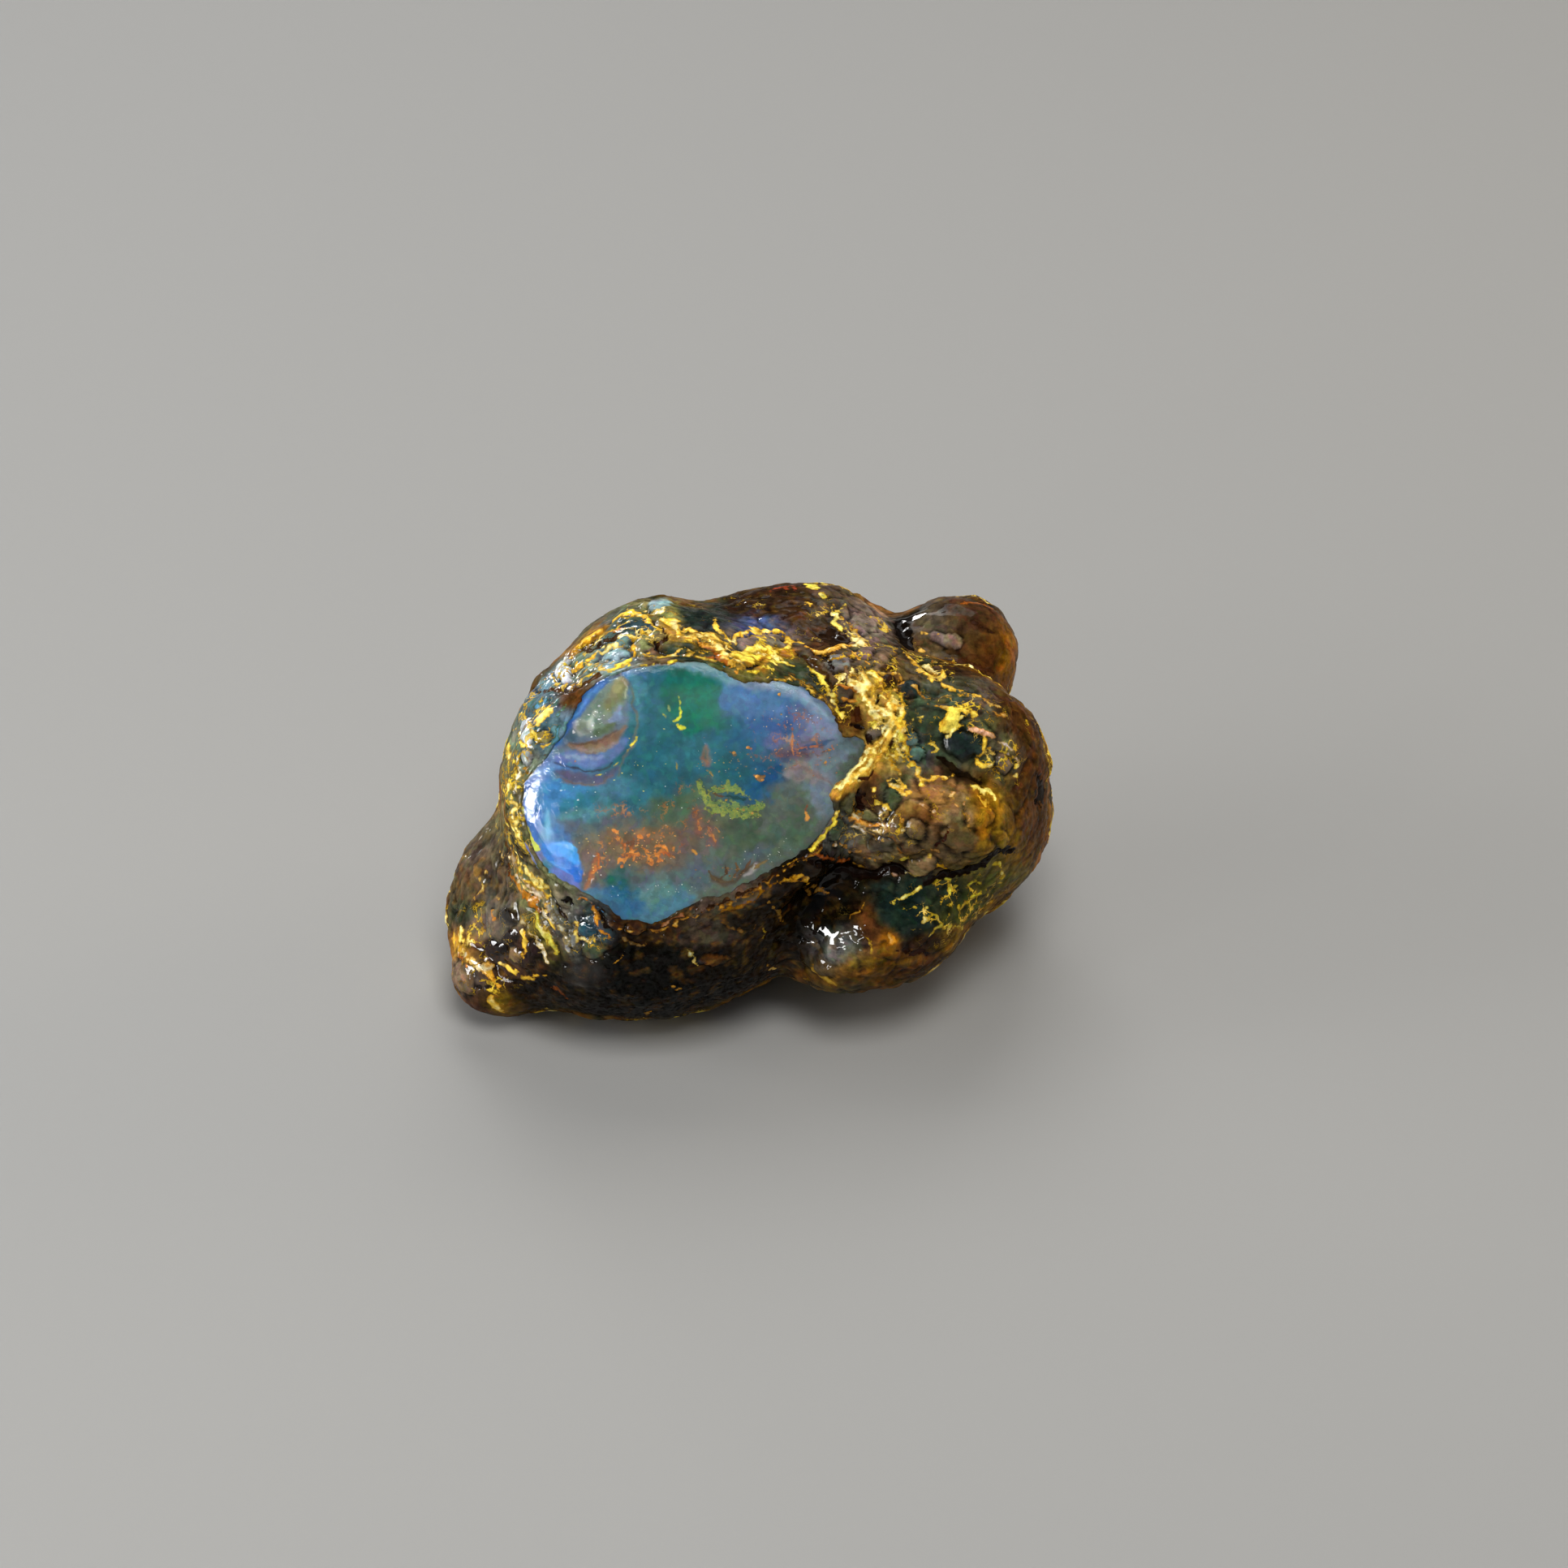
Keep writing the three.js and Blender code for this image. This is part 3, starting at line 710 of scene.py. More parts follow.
SEAM = (
    *bundle(("#e8d050", "#f4e890", "#c8a438", "#f0e068"), 0.9, 0.12, (-22.9, 2.6), (-23, 1.2), (-22.7, -0.8),
            (-22.5, -2.4), (-22.6, -4), (-22, -5.4), (-20.9, -7), (-19.6, -8.8), (-18.6, -10.2)),
    *strokes(
        ("#d8d4b8", 0.15, (0.3, 0.45, 0.2), (-22.1, 4.2), (-22.3, 2.6), (-22.2, 0.6)),
        ("#5a3a1a", -0.15, 0.2, (-22.5, 3.8), (-22.55, 2)),
        ("#e8c850", 0.2, (0.4, 0.6, 0.4), (-23.2, 5.9), (-23.1, 5), (-23.2, 4.2)),
        ("#e8c850", 0.2, (0.3, 0.5, 0.3), (-22.8, 7.3), (-22.3, 6.4)),
        ("#d8d060", 0, 0.35, (-22, -0.4), (-21.9, -1.6)),
        ("#6a4a20", -0.15, (0.2, 0.3, 0.2), (-23.4, 0.4), (-23.1, -1.6), (-23.2, -3.4), (-22.9, -5.2)),
    ),
)

SHOULDER = strokes(
    ("#f0d860", 0.1, (0.2, 0.5, 0.3), (-18.8, 13.4), (-19.2, 12.5), (-18.9, 11.7)),
    ("#f0d860", 0.1, 0.4, (-18.7, 11.1), (-18, 11), (-17.2, 11.5)),
    ("#4a3018", -0.3, (0.3, 0.5, 0.5, 0.3), (-20.4, 10.3), (-18.5, 10.6), (-16.8, 10.6), (-15.5, 11.2),
     (-14.4, 12.1)),
    ("#e8b838", 0.3, (0.3, 0.6, 0.6, 0.4), (-18.1, 13.7), (-16.8, 14.4), (-15.6, 15.2), (-14.4, 16.1)),
    ("#3a2a1c", -0.25, 0.35, (-16.2, 14.2), (-14.5, 14.9), (-12, 15.5)),
    ("#c98a5a", 0.1, 0.5, (-13.7, 15.7), (-12.3, 16)),
    ("#ece49c", 0.1, 0.4, (-14.8, 14.3), (-13.4, 14.8), (-12.2, 15)),
    ("#ece080", 0, 0.35, (-12.2, 15.4), (-11.2, 15.6)),
    ("#f0c848", 0.3, (0.3, 0.55, 0.5, 0.4), (-13, 17), (-11.5, 17.7), (-10.2, 17.5), (-8.8, 16.3)),
    ("#f0e4b0", 0.1, 0.6, (-9.8, 17.9), (-8.8, 17.8), (-7.9, 18.1)),
    ("#3c2412", -0.4, (0.2, 0.4, 0.5, 0.3), (-9.3, 17), (-8.5, 16.3), (-8, 15.5), (-8.7, 14.6)),
    ("#e8c040", 0.25, (0.5, 0.9, 0.7), (-8.2, 17.4), (-7.3, 16.9), (-6.8, 16.2)),
    ("#f0e050", 0.15, (0.3, 0.6, 0.6, 0.3), (-13.6, 12.5), (-12.6, 12.9), (-11.7, 13.1), (-11, 13.5)),
    ("#e8c048", 0.1, 0.4, (-17.1, 12.5), (-16.2, 13.2), (-14.9, 13.8)),
    ("#d8c070", 0, 0.3, (-16.6, 11.8), (-15.2, 12.6), (-13.8, 12.6)),
    ("#d8a830", 0.15, (0.25, 0.35, 0.25), (-11.2, 13.4), (-10.8, 14.1), (-11.2, 14.9)),
    ("#d8b840", 0.15, (0.2, 0.3, 0.2), (-11, 15.4), (-10.2, 15.9), (-9.4, 15.5)),
    ("#1c100a", -0.5, 0.6, (-9, 15), (-8.6, 14.4)),
    ("#e8e050", 0, 0.4, (-10.2, 12.6), (-9.5, 12.9)),
    ("#e8d848", 0, 0.4, (-8.5, 12.8), (-7.3, 13.2)),
    ("#f2dc70", 0.2, (0.3, 0.8, 0.4), (-20.2, 7.3), (-19.7, 8.1), (-19.2, 8.9)),
    ("#4f82a0", 0, 0.5, (-20.2, 8.8), (-19.4, 9.3), (-18.4, 9.5)),
    ("#e8cc50", 0.15, 0.35, (-22.3, 7.8), (-21.5, 9.2), (-20.7, 10.1)),
    ("#d08a30", 0, 0.4, (-21, 8.8), (-20.4, 9.5)),
    ("#e8d050", 0.1, (0.15, 0.3, 0.3, 0.15), (-21.9, 6), (-21.5, 5.2), (-20.8, 5.4)),
    ("#e0c850", 0.1, 0.3, (-21.4, 7.4), (-20.7, 7), (-20.5, 6.2)),
    ("#d8c460", 0, 0.25, (-20.6, 5.2), (-19.8, 4.9), (-19, 5.5)),
    ("#3f6a7a", 0, 0.6, (-19.2, 5), (-18.6, 5.9), (-18.4, 7)),
    ("#5f8a9a", 0, 0.5, (-18.6, 8), (-17.8, 9.4)),
    ("#6a4a24", -0.1, 0.2, (-19.8, 4), (-18.8, 4.2), (-18.2, 5.2)),
)

TOP = (
    *bundle(("#f0e078", "#c8a040", "#fff4b8"), 0.9, 0.1, (7.9, 18.6), (8.6, 17.6), (9.6, 16.2), (10.6, 15.3),
            (11.6, 15.6)),
    *bundle(("#ecc860", "#f8e490", "#c89034", "#f0d468"), 1, 0.12, (-8.1, 15.7), (-6.6, 15.7), (-5.4, 15.6),
            (-4, 14.9), (-3, 14.2), (-2, 13.3), (-0.8, 12.8)),
    *strokes(
        ("#a05a1e", -0.1, (0.2, 0.4, 0.3), (-4.4, 14.5), (-3.1, 13.8), (-2, 12.9)),
        ("#e8c458", 0.25, (0.3, 0.55, 0.5, 0.3), (-6.4, 16.9), (-5, 16.2), (-3.8, 15.6), (-2.3, 14.6)),
        ("#3f5560", 0, 0.4, (-7, 16.3), (-5.2, 15.8)),
        ("#e8c850", 0.15, (0.2, 0.3, 0.2), (-3.2, 16.9), (-2.4, 16), (-1.7, 15.2)),
    ),
    # Thin gold lines along the dark glass above the window.
    *bundle(("#8a7430", "#c8a83c", "#5a4a20"), 0.4, 0.06, (-10.6, 13.6), (-8.6, 14), (-6.4, 14.2),
            (-4.2, 13.8), (-2.2, 12.7)),
    *bundle(("#b89438", "#6a5424", "#d8bc50"), 0.4, 0.06, (2.6, 11.9), (4.4, 11.5), (6.2, 10.3), (7.8, 8.9),
            (8.8, 7.4)),
    *strokes(
        ("#e8c448", 0.3, (0.25, 0.4, 0.35, 0.4, 0.3), (-1.7, 14.9), (-1.2, 15.7), (0, 16.1), (0.9, 15.8),
         (2.2, 16.2), (3.3, 15.8), (3.8, 14.9)),
        ("#ecd058", 0.25, (0.3, 0.4, 0.3), (3.8, 14.9), (2.9, 14.3), (1, 14.2), (-0.6, 14), (-1.7, 14.2)),
    ),
    *bundle(("#f0d44c", "#f8ec80", "#c8a02c", "#ecd850"), 1.2, 0.12, (-0.6, 13.9), (0.6, 14.3), (1.6, 14.1),
            (2.4, 13.6), (1.7, 12.9)),
    *strokes(
        ("#f0d850", 0.2, (0.4, 0.7, 0.5), (-1.7, 13.9), (-0.2, 13.6), (1, 13.5)),
        ("#1c120a", -0.4, 0.4, (-0.4, 12.9), (0.4, 13), (1.1, 13.1)),
        ("#e8d850", 0.2, (0.15, 0.25, 0.25, 0.15), (-0.4, 12.5), (0.8, 12.5), (1.5, 12.9), (1.8, 13.5)),
        ("#e8dc60", 0.2, (0.3, 0.5, 0.2), (1.7, 12.6), (2.6, 12.8), (3.9, 12.7)),
        ("#e8dc60", 0.1, (0.25, 0.15), (2.3, 12.5), (1.8, 11.9), (1.3, 11.4)),
        ("#e0cc50", 0.2, (0.2, 0.35, 0.35, 0.25), (5.2, 12.8), (6.2, 11.8), (7.3, 10.5), (8.3, 9.2),
         (9.1, 7.9)),
        ("#402a14", -0.35, (0.3, 0.6, 0.4), (4.2, 14), (5.6, 13.1), (6.6, 12.1), (7.7, 10.7)),
        ("#d8b848", 0.1, 0.3, (4, 15.1), (4.4, 15.3), (4.8, 14.9)),
        ("#e8dc58", 0.1, (0.3, 0.7, 0.4), (4.6, 20.6), (5.6, 20.6), (6.4, 20.2)),
        ("#e0d050", 0, (0.3, 0.5, 0.3), (6.6, 19.6), (7.3, 19.4)),
        ("#e0c050", 0, 0.35, (5, 18.7), (5.6, 18.5)),
        ("#8a4030", 0, 0.35, (2, 20), (3, 20.3), (4.1, 20.2)),
        ("#24160c", -0.7, (0.6, 1.3, 0.7), (6.6, 15.8), (7.8, 15.6), (9.1, 15.5)),
        ("#a83a28", 0, 0.3, (8.2, 15.2), (8.7, 15.6)),
        ("#ece070", 0.25, (0.3, 0.6, 0.5, 0.3), (7.8, 18.3), (8.4, 17.7), (8, 17), (8.7, 16.5)),
        ("#ece070", 0.15, 0.4, (8.4, 18), (9.1, 18.4)),
        ("#e0c458", 0.15, (0.2, 0.3, 0.2), (11.3, 17.7), (12.4, 17.1), (13.1, 16.3)),
        ("#f0d890", 0.25, (0.4, 0.6, 0.4), (9.7, 15.7), (10.4, 15.5), (10.9, 15)),
        ("#e8b850", 0.3, (0.3, 0.5, 0.45, 0.35), (9.6, 15.3), (8.4, 14.6), (7, 14.2), (5.4, 14.5)),
        ("#1e120c", -0.4, 0.4, (6, 14), (7.2, 13.5), (7.8, 12.3)),
        ("#745c44", 0, 0.5, (8.8, 12.9), (9.4, 12.2), (9.4, 11.6)),
        ("#d8a848", 0.15, (0.2, 0.3, 0.2), (9.6, 14.2), (10.4, 13.4), (11.6, 13.2), (12.3, 13.8)),
        ("#d8b048", 0.15, (0.2, 0.3, 0.3, 0.2), (12, 12.8), (12.6, 12.1), (13.6, 12.2), (14, 12.9),
         (13.4, 13.3)),
        ("#e0b848", 0.15, (0.2, 0.3, 0.2), (12.3, 10.6), (12.2, 11.6), (12.8, 12.2)),
        ("#e0b050", 0.15, (0.2, 0.3, 0.2), (14, 12.2), (14.2, 11.2), (13.7, 10.4)),
        ("#c08838", 0.15, 0.22, (8.4, 9.8), (9.2, 9.5), (10.2, 9.3)),
        ("#a86a28", 0.1, 0.2, (8.2, 10.9), (9.2, 10.9), (10.2, 10.5)),
    ),
)

CREAM = ("#f8e888", "#e4b848", "#fff4b8", "#f0d860", "#cc9838", "#fcec98")
LEMON = ("#f0dc50", "#d0a834", "#fcf098", "#e8cc48")

FORK = (
    # Fibrous cream veins over amber, from the brow down to the window's right edge, with dark holes.
    *bundle(CREAM, 1.5, 0.09, (10.2, 12), (10.9, 10.8), (11.1, 9.6), (11.8, 8.4), (12.9, 7.2)),
    *bundle(CREAM, 1.8, 0.09, (12.6, 9.8), (13.2, 8), (13, 6.2), (12.3, 4.8), (11.2, 3.5), (9.9, 2.4),
            (8.7, 1.3), (7.9, 0.3)),
    *bundle(LEMON, 1.1, 0.12, (14, 10), (14.7, 8.4), (14.3, 6.9), (14.4, 5.4), (14.8, 4)),
    *bundle(LEMON, 0.8, 0.1, (12.9, 5.2), (13.9, 4.2), (14.9, 3.4), (15.7, 2.6), (16.3, 1.7), (16.7, 0.6)),
    *bundle(CREAM[:4], 0.8, 0.1, (12.8, 4.6), (13.4, 3.2), (13.9, 1.8), (14.6, 0.2)),
    *bundle(LEMON[:3], 0.6, 0.1, (9.6, 13), (10.4, 12.4), (11.4, 12.2), (12.4, 11.6)),
    *strokes(
        ("#e8b838", 0.2, (0.3, 0.4, 0.3), (13.4, 7.2), (14, 6.8), (14.5, 6.6)),
        ("#e0a838", 0.15, 0.35, (12.6, 8.4), (13.6, 8.5), (14.4, 8.7)),
        ("#e8c050", 0.2, (0.2, 0.35, 0.35, 0.25), (15.1, 2.4), (16.6, 2.1), (18, 2.2), (19.1, 2.4)),
        ("#1c0e08", -0.6, 0.6, (9.7, 7.1), (10.3, 7), (10.8, 6.6)),
        ("#24140a", -0.5, 0.5, (11, 6.2), (11.6, 5.8), (11.9, 5.3)),
        ("#2a160a", -0.4, (0.2, 0.5, 0.3), (12.3, 9.9), (12.2, 9.2)),
        ("#3c1e0c", -0.3, 0.4, (10, 8.9), (10.3, 8), (10, 7.3)),
        ("#3a1e0e", -0.3, (0.2, 0.5, 0.3), (10.2, 1.7), (11.2, 2.4), (11.9, 3.2)),
        ("#2a180c", -0.4, 0.5, (13.7, 8.6), (13.9, 7.8)),
        ("#3a2410", -0.3, (0.3, 0.5, 0.3), (13.6, 5.6), (13.5, 4.9)),
    ),
)

BROW = (
    *strokes(
        ("#120c08", -0.7, (0.5, 1.4, 1.3, 0.7), (14, 17.2), (14.5, 16.2), (15, 15), (15.6, 14.3)),
        ("#8a5020", 0, (0.3, 0.5, 0.3), (20.3, 18.9), (21.8, 18.8), (23.2, 18.2)),
        ("#8a5216", 0, 0.6, (24.2, 15.2), (25, 13), (25.6, 11.6)),
        ("#3a241a", -0.2, 0.6, (21.4, 16.8), (23.2, 15.9)),
        ("#4a2c1c", -0.2, 0.4, (19.6, 14), (21.2, 12.8), (23, 12.2)),
        ("#e0c070", 0, 0.25, (16.4, 15.9), (17, 15.7)),
        ("#e0c070", 0, 0.25, (17.7, 15.6), (18.2, 15.5)),
        ("#e0b860", 0.1, 0.3, (16.4, 14.4), (17.1, 14.1)),
        ("#e8c450", 0.25, (0.25, 0.45, 0.4, 0.4, 0.25), (14.4, 14.1), (15.4, 13.2), (16.2, 12.3),
         (17.3, 11.6), (18.4, 11.8), (18.4, 12.5)),
        ("#d89838", 0, 0.35, (17.4, 13.4), (17.8, 12.8)),
        ("#d8b448", 0.2, (0.2, 0.4, 0.35, 0.2), (18.2, 11.3), (19.4, 10.5), (20.5, 10), (21.6, 10.1)),
        ("#b89040", 0.15, (0.2, 0.3, 0.2), (21.8, 9.7), (22.6, 9.1), (23.3, 8.9)),
        ("#a87c34", 0.15, (0.2, 0.3, 0.2), (22.9, 8.2), (24, 8.2)),
        ("#c8c070", 0, 0.22, (15.7, 7.4), (16.9, 7.7)),
        ("#e0cc60", 0.1, (0.15, 0.3, 0.3, 0.15), (16.5, 5.1), (17.1, 5.6), (17.8, 5.1), (17.3, 4.4)),
    ),
    *bundle(LEMON, 1.4, 0.2, (18, 6.4), (18.7, 7.1), (19.4, 7.7), (19.8, 8.5)),
    *strokes(
        ("#f4dc58", 0.15, (0.8, 1.5, 1.1), (18.4, 6.7), (19.1, 7.4), (19.3, 8.2)),
        ("#f0d050", 0.2, (0.25, 0.4, 0.3), (19.1, 8.5), (20.4, 8.4), (21.4, 8)),
        ("#f0b898", 0.25, (0.3, 0.6, 0.5, 0.3), (20.6, 7.1), (21.8, 6.7), (22.8, 6.2), (23.5, 6.1)),
        ("#d0c8cc", 0, 0.45, (23.8, 5.5), (25, 4.7)),
        ("#c8c0c4", 0, 0.4, (24.8, 4.2), (25.7, 3.7)),
        ("#f0cc48", 0.25, (0.25, 0.45, 0.4, 0.5, 0.35), (22.2, 6), (22.3, 5), (21.8, 4.2), (21.5, 3.4),
         (22.3, 3), (23.4, 3.2)),
        ("#e0b840", 0.15, 0.35, (23, 4.8), (23.6, 4.1)),
        ("#ecd050", 0.15, (0.3, 0.5, 0.3), (25.4, 3.3), (25.2, 2.2)),
        ("#1c1206", -0.5, (0.3, 0.7, 0.7, 0.4), (17.8, 4.1), (19, 3.4), (20.2, 2.5), (21.8, 1.8)),
        ("#1a120c", -0.3, (0.5, 0.8, 0.4), (27.9, 2), (27.8, 0.6), (27.4, -0.6)),
        ("#c8a040", 0.1, 0.3, (16.9, 9.4), (17.8, 8.6), (18.8, 8.6)),
        ("#a8803a", 0.1, (0.15, 0.25, 0.15), (15.2, 10.9), (16, 10.6), (16.6, 9.9)),
    ),
)

CHEEK = (
    *bundle(("#d8bc80", "#f0e0b0", "#a07838"), 0.9, 0.1, (9.8, -1.4), (10.6, -2.6), (11.8, -3.4),
            (13.2, -3.6)),
    *bundle(("#e8d8a8", "#b08848", "#fff0c8"), 0.7, 0.1, (12.9, -0.6), (12.4, -1.8), (12.7, -3), (12, -4.4)),
    *strokes(
        ("#f2e070", 0.15, (0.2, 0.4, 0.35, 0.2), (20.9, 1.2), (21.9, 1.2), (22.7, 0.8), (23.1, 0.2)),
        ("#e8d448", 0.1, (0.2, 0.5, 0.45, 0.3), (8.2, -1.2), (8, -2.1), (7.2, -3.1), (6.6, -3.9), (6, -4.7)),
        ("#f0a840", 0.25, (0.2, 0.4, 0.4, 0.2), (9.9, -1.8), (10.6, -2.4), (11.4, -2.6), (12.1, -2.3)),
        ("#ecd050", 0.25, (0.3, 0.5, 0.4, 0.3), (11.7, 1.2), (11.9, -0.2), (12.5, -0.5), (13.4, -0.8)),
        ("#e8c050", 0.2, 0.35, (13.1, 1.9), (13.8, 1), (15.1, 0.8)),
        ("#1e0c06", -0.6, (0.3, 0.8, 0.4), (10.4, 0.9), (10.6, 0), (10.7, -1)),
        ("#c0986c", 0, (0.15, 0.25, 0.15), (20.4, -0.3), (20.6, -1.8), (21.1, -3.1)),
        ("#c8a078", 0, 0.22, (17.2, 1.2), (18.8, 0.8), (19.6, -0.4)),
        ("#b89a80", 0, 0.2, (16, -0.2), (17.2, -0.9), (18.6, -0.8)),
        ("#3a1808", -0.3, 0.25, (18.6, -2.7), (18.4, -3.6), (17.4, -5.1)),
        ("#e0b030", 0, 0.5, (21.8, 0.4), (22.8, -0.9)),
        ("#e0d050", 0.1, 0.5, (14.1, -5.6), (14.9, -5.8)),
        ("#e8dca0", 0.1, 0.45, (14.9, -7.1), (15.7, -7.3)),
        ("#d8c060", 0, 0.25, (16.6, -5.5), (17, -5.7)),
        ("#d8b028", 0.1, 0.4, (17.9, -6.4), (18.8, -6.7)),
        ("#d0a838", 0.1, 0.35, (12.2, -5.5), (13.3, -5.2)),
        ("#c89830", 0.1, 0.35, (10.9, -5.4), (11.9, -5.8)),
        ("#8a4a1a", 0.2, 0.35, (6.3, -5.3), (8, -5.6), (9.3, -5.6)),
        ("#8a6a24", 0, 0.5, (9.9, -6), (11, -6.3)),
        ("#120804", -0.6, (0.6, 1.1, 1.1, 0.7), (5.8, -6), (8, -6.5), (11, -7), (13.2, -6.5), (14.6, -6.9)),
        ("#160c06", -0.5, (0.4, 0.8, 0.7, 0.4), (16.4, -8), (18.6, -7.2), (21, -6.4), (23.2, -5.7),
         (25.2, -4.8)),
        ("#a08078", 0, 0.35, (12.4, -6.3), (13.6, -7.2)),
        ("#b88c40", 0.15, 0.3, (14.2, -1.4), (14.6, -2.6), (14.3, -3.6)),
        ("#a8804c", 0.1, 0.3, (15.9, -4.8), (17, -5), (18.2, -5.6)),
        ("#c09048", 0.15, 0.25, (8.6, -4.3), (9.6, -4.9), (10.6, -4.6)),
        # Painted highlights: two near-white glints on the cheek's left.
        ("#f4ecdc", 0.15, 0.3, (8.7, -4.6), (8.9, -3.8), (9.4, -3.3)),
        ("#f8f0e0", 0.2, (0.2, 0.5, 0.2), (10, -2.9), (10.7, -3.2), (11, -3.8)),
        ("#8a6030", 0.1, 0.25, (12.8, -3.2), (13.6, -4), (14, -4.9)),
    ),
)

HEEL = strokes(
    ("#d8d860", 0.1, (0.2, 0.35, 0.35, 0.2), (13.3, -9.6), (14.3, -9.2), (15.3, -8.9), (16.1, -8.4)),
    ("#c8c850", 0.1, (0.15, 0.22, 0.2, 0.15), (13.4, -9.6), (14.2, -10.2), (15.4, -10.4), (17.1, -10)),
    ("#c8c850", 0, 0.2, (14.8, -12.3), (15.3, -12.1)),
    ("#d0c848", 0.1, 0.4, (18.9, -9.1), (19, -8.6), (19.8, -8.2)),
    ("#d0c040", 0, 0.28, (18.4, -10.3), (18.9, -10.1)),
    ("#d8d03c", 0.15, (0.2, 0.4, 0.4, 0.2), (20.6, -9.6), (21.3, -8.9), (22.1, -8.8), (22.6, -9.4)),
    ("#c8bc38", 0.1, (0.15, 0.3, 0.3, 0.15), (23.1, -6.6), (23.6, -6.5), (23.9, -7), (23.5, -7.4)),
    ("#d0c040", 0, 0.26, (23.4, -7.9), (23.9, -7.7)),
    ("#c8b838", 0, 0.3, (19.4, -10.4), (20.5, -9.8), (21.2, -10.3)),
    ("#c0b440", 0, 0.22, (17.2, -13.1), (17.6, -12.3), (18.6, -11.2)),
    ("#b8a838", 0, 0.25, (18.5, -11.6), (19.5, -12.1), (20.6, -12)),
    ("#c8a428", 0, 0.35, (21.4, -11.4), (22.4, -10.6), (23.2, -9.4)),
    ("#d08820", 0, (0.2, 0.6, 0.3), (13, -12.6), (13.4, -13.4), (13.1, -14.1)),
    ("#c8c440", 0.1, (0.12, 0.24, 0.24, 0.12), (20, -8.4), (20.8, -7.8), (21.8, -7.9), (22.2, -8.4)),
    ("#c0b83c", 0.1, (0.12, 0.24, 0.24, 0.12), (17.6, -8), (18.2, -7.4), (19, -7.6), (18.9, -8.3)),
    ("#b0a438", 0, 0.22, (16.2, -11.4), (17, -10.8), (17.9, -11), (18.3, -11.8)),
    ("#e8c850", 0, 0.3, (11.9, -12.4), (12.2, -13)),
    ("#2a1206", -0.3, 0.6, (13.8, -14.8), (15.6, -14.6), (17.2, -14.9)),
    ("#9a7a20", 0, 0.4, (4.4, -17.4), (5.6, -17.2)),
    ("#b88a30", 0.1, 0.3, (9.2, -11.2), (9.9, -10.2), (10.6, -9.8)),
    ("#b8a040", 0.1, 0.25, (10.9, -12.8), (11.6, -13.8), (11.6, -15)),
    ("#a8882c", 0.1, 0.3, (6, -15.6), (6.6, -16.6), (8, -17.4)),
    ("#c09430", 0, 0.25, (19.2, -14.2), (20.6, -14.4), (21.8, -13.4)),
)

FRINGE = (
    # The rim below the window, brown and gold.
    *bundle(("#7a5420", "#2a1a0e", "#b88a30", "#4a3018"), 0.5, 0.08, (-12.6, -12.2), (-10.4, -12.5),
            (-8.2, -12.2), (-6, -11.2), (-3.2, -10.1), (-0.8, -9.1), (1.6, -7.8), (3.6, -6.6), (5.6, -5.6),
            (7.2, -4.2)),
    *strokes(
        ("#c88c2c", 0.15, (0.15, 0.35, 0.25, 0.15), (-15, -9.9), (-14.5, -11), (-14.3, -12), (-13.7, -13.2)),
        ("#18100a", -0.3, (0.3, 0.5, 0.3), (-14.2, -10.4), (-13.8, -11.6), (-13.2, -12.6)),
        ("#a86a28", 0.15, 0.4, (-16.4, -9.6), (-15, -9.8)),
        ("#e8d890", 0.1, 0.5, (-16, -13.3), (-15.3, -13.7)),
        ("#d8c060", 0.15, 0.3, (-16.5, -11.6), (-16.7, -12.8), (-16.2, -14)),
        ("#c8a040", 0.1, 0.35, (-13.1, -15.5), (-12.1, -15)),
        ("#a06a48", 0.15, 0.28, (-8.4, -12), (-6.8, -11.2), (-5.3, -10.4)),
        ("#8a6010", 0.15, (0.2, 0.35, 0.35, 0.2), (-2.7, -10.5), (-1, -9.9), (0.8, -9), (2.3, -8.3)),
        ("#c89a28", 0.2, (0.2, 0.45, 0.4, 0.2), (2.6, -8.1), (3.8, -7.8), (5, -7.6), (5.4, -8.2)),
        ("#c8a030", 0.1, 0.35, (3.3, -6.4), (4.7, -5.9)),
        ("#b8b890", 0.15, 0.45, (-6, -14.1), (-5.3, -14.9), (-5, -15.5)),
        ("#b0a030", 0.15, 0.6, (1.1, -12.1), (1.3, -13.2)),
        ("#a89440", 0, 0.3, (5.1, -12.4), (5.5, -12.1)),
        ("#b08838", 0, 0.22, (-9.9, -20.5), (-9.4, -20.2)),
        ("#b08838", 0, 0.22, (-7.3, -17.9), (-6.7, -17.7)),
        ("#b89040", 0, 0.22, (2, -15.9), (2.6, -15.7)),
        ("#6a3a14", 0, 0.4, (-19.2, -18.2), (-17.4, -19.1)),
        ("#9a7430", 0.15, 0.3, (5.6, -9.3), (6.6, -8.6), (7.6, -8.7)),
        ("#8a6a2c", 0.15, 0.25, (1.6, -9.9), (2.6, -10.4), (3, -11.6)),
        ("#7a5c2c", 0.15, 0.3, (-2.4, -11.8), (-1.2, -12.4), (0.2, -12)),
        ("#6f5a38", 0.15, 0.25, (-12.4, -13.2), (-11.2, -13.9), (-9.8, -13.8)),
    ),
)

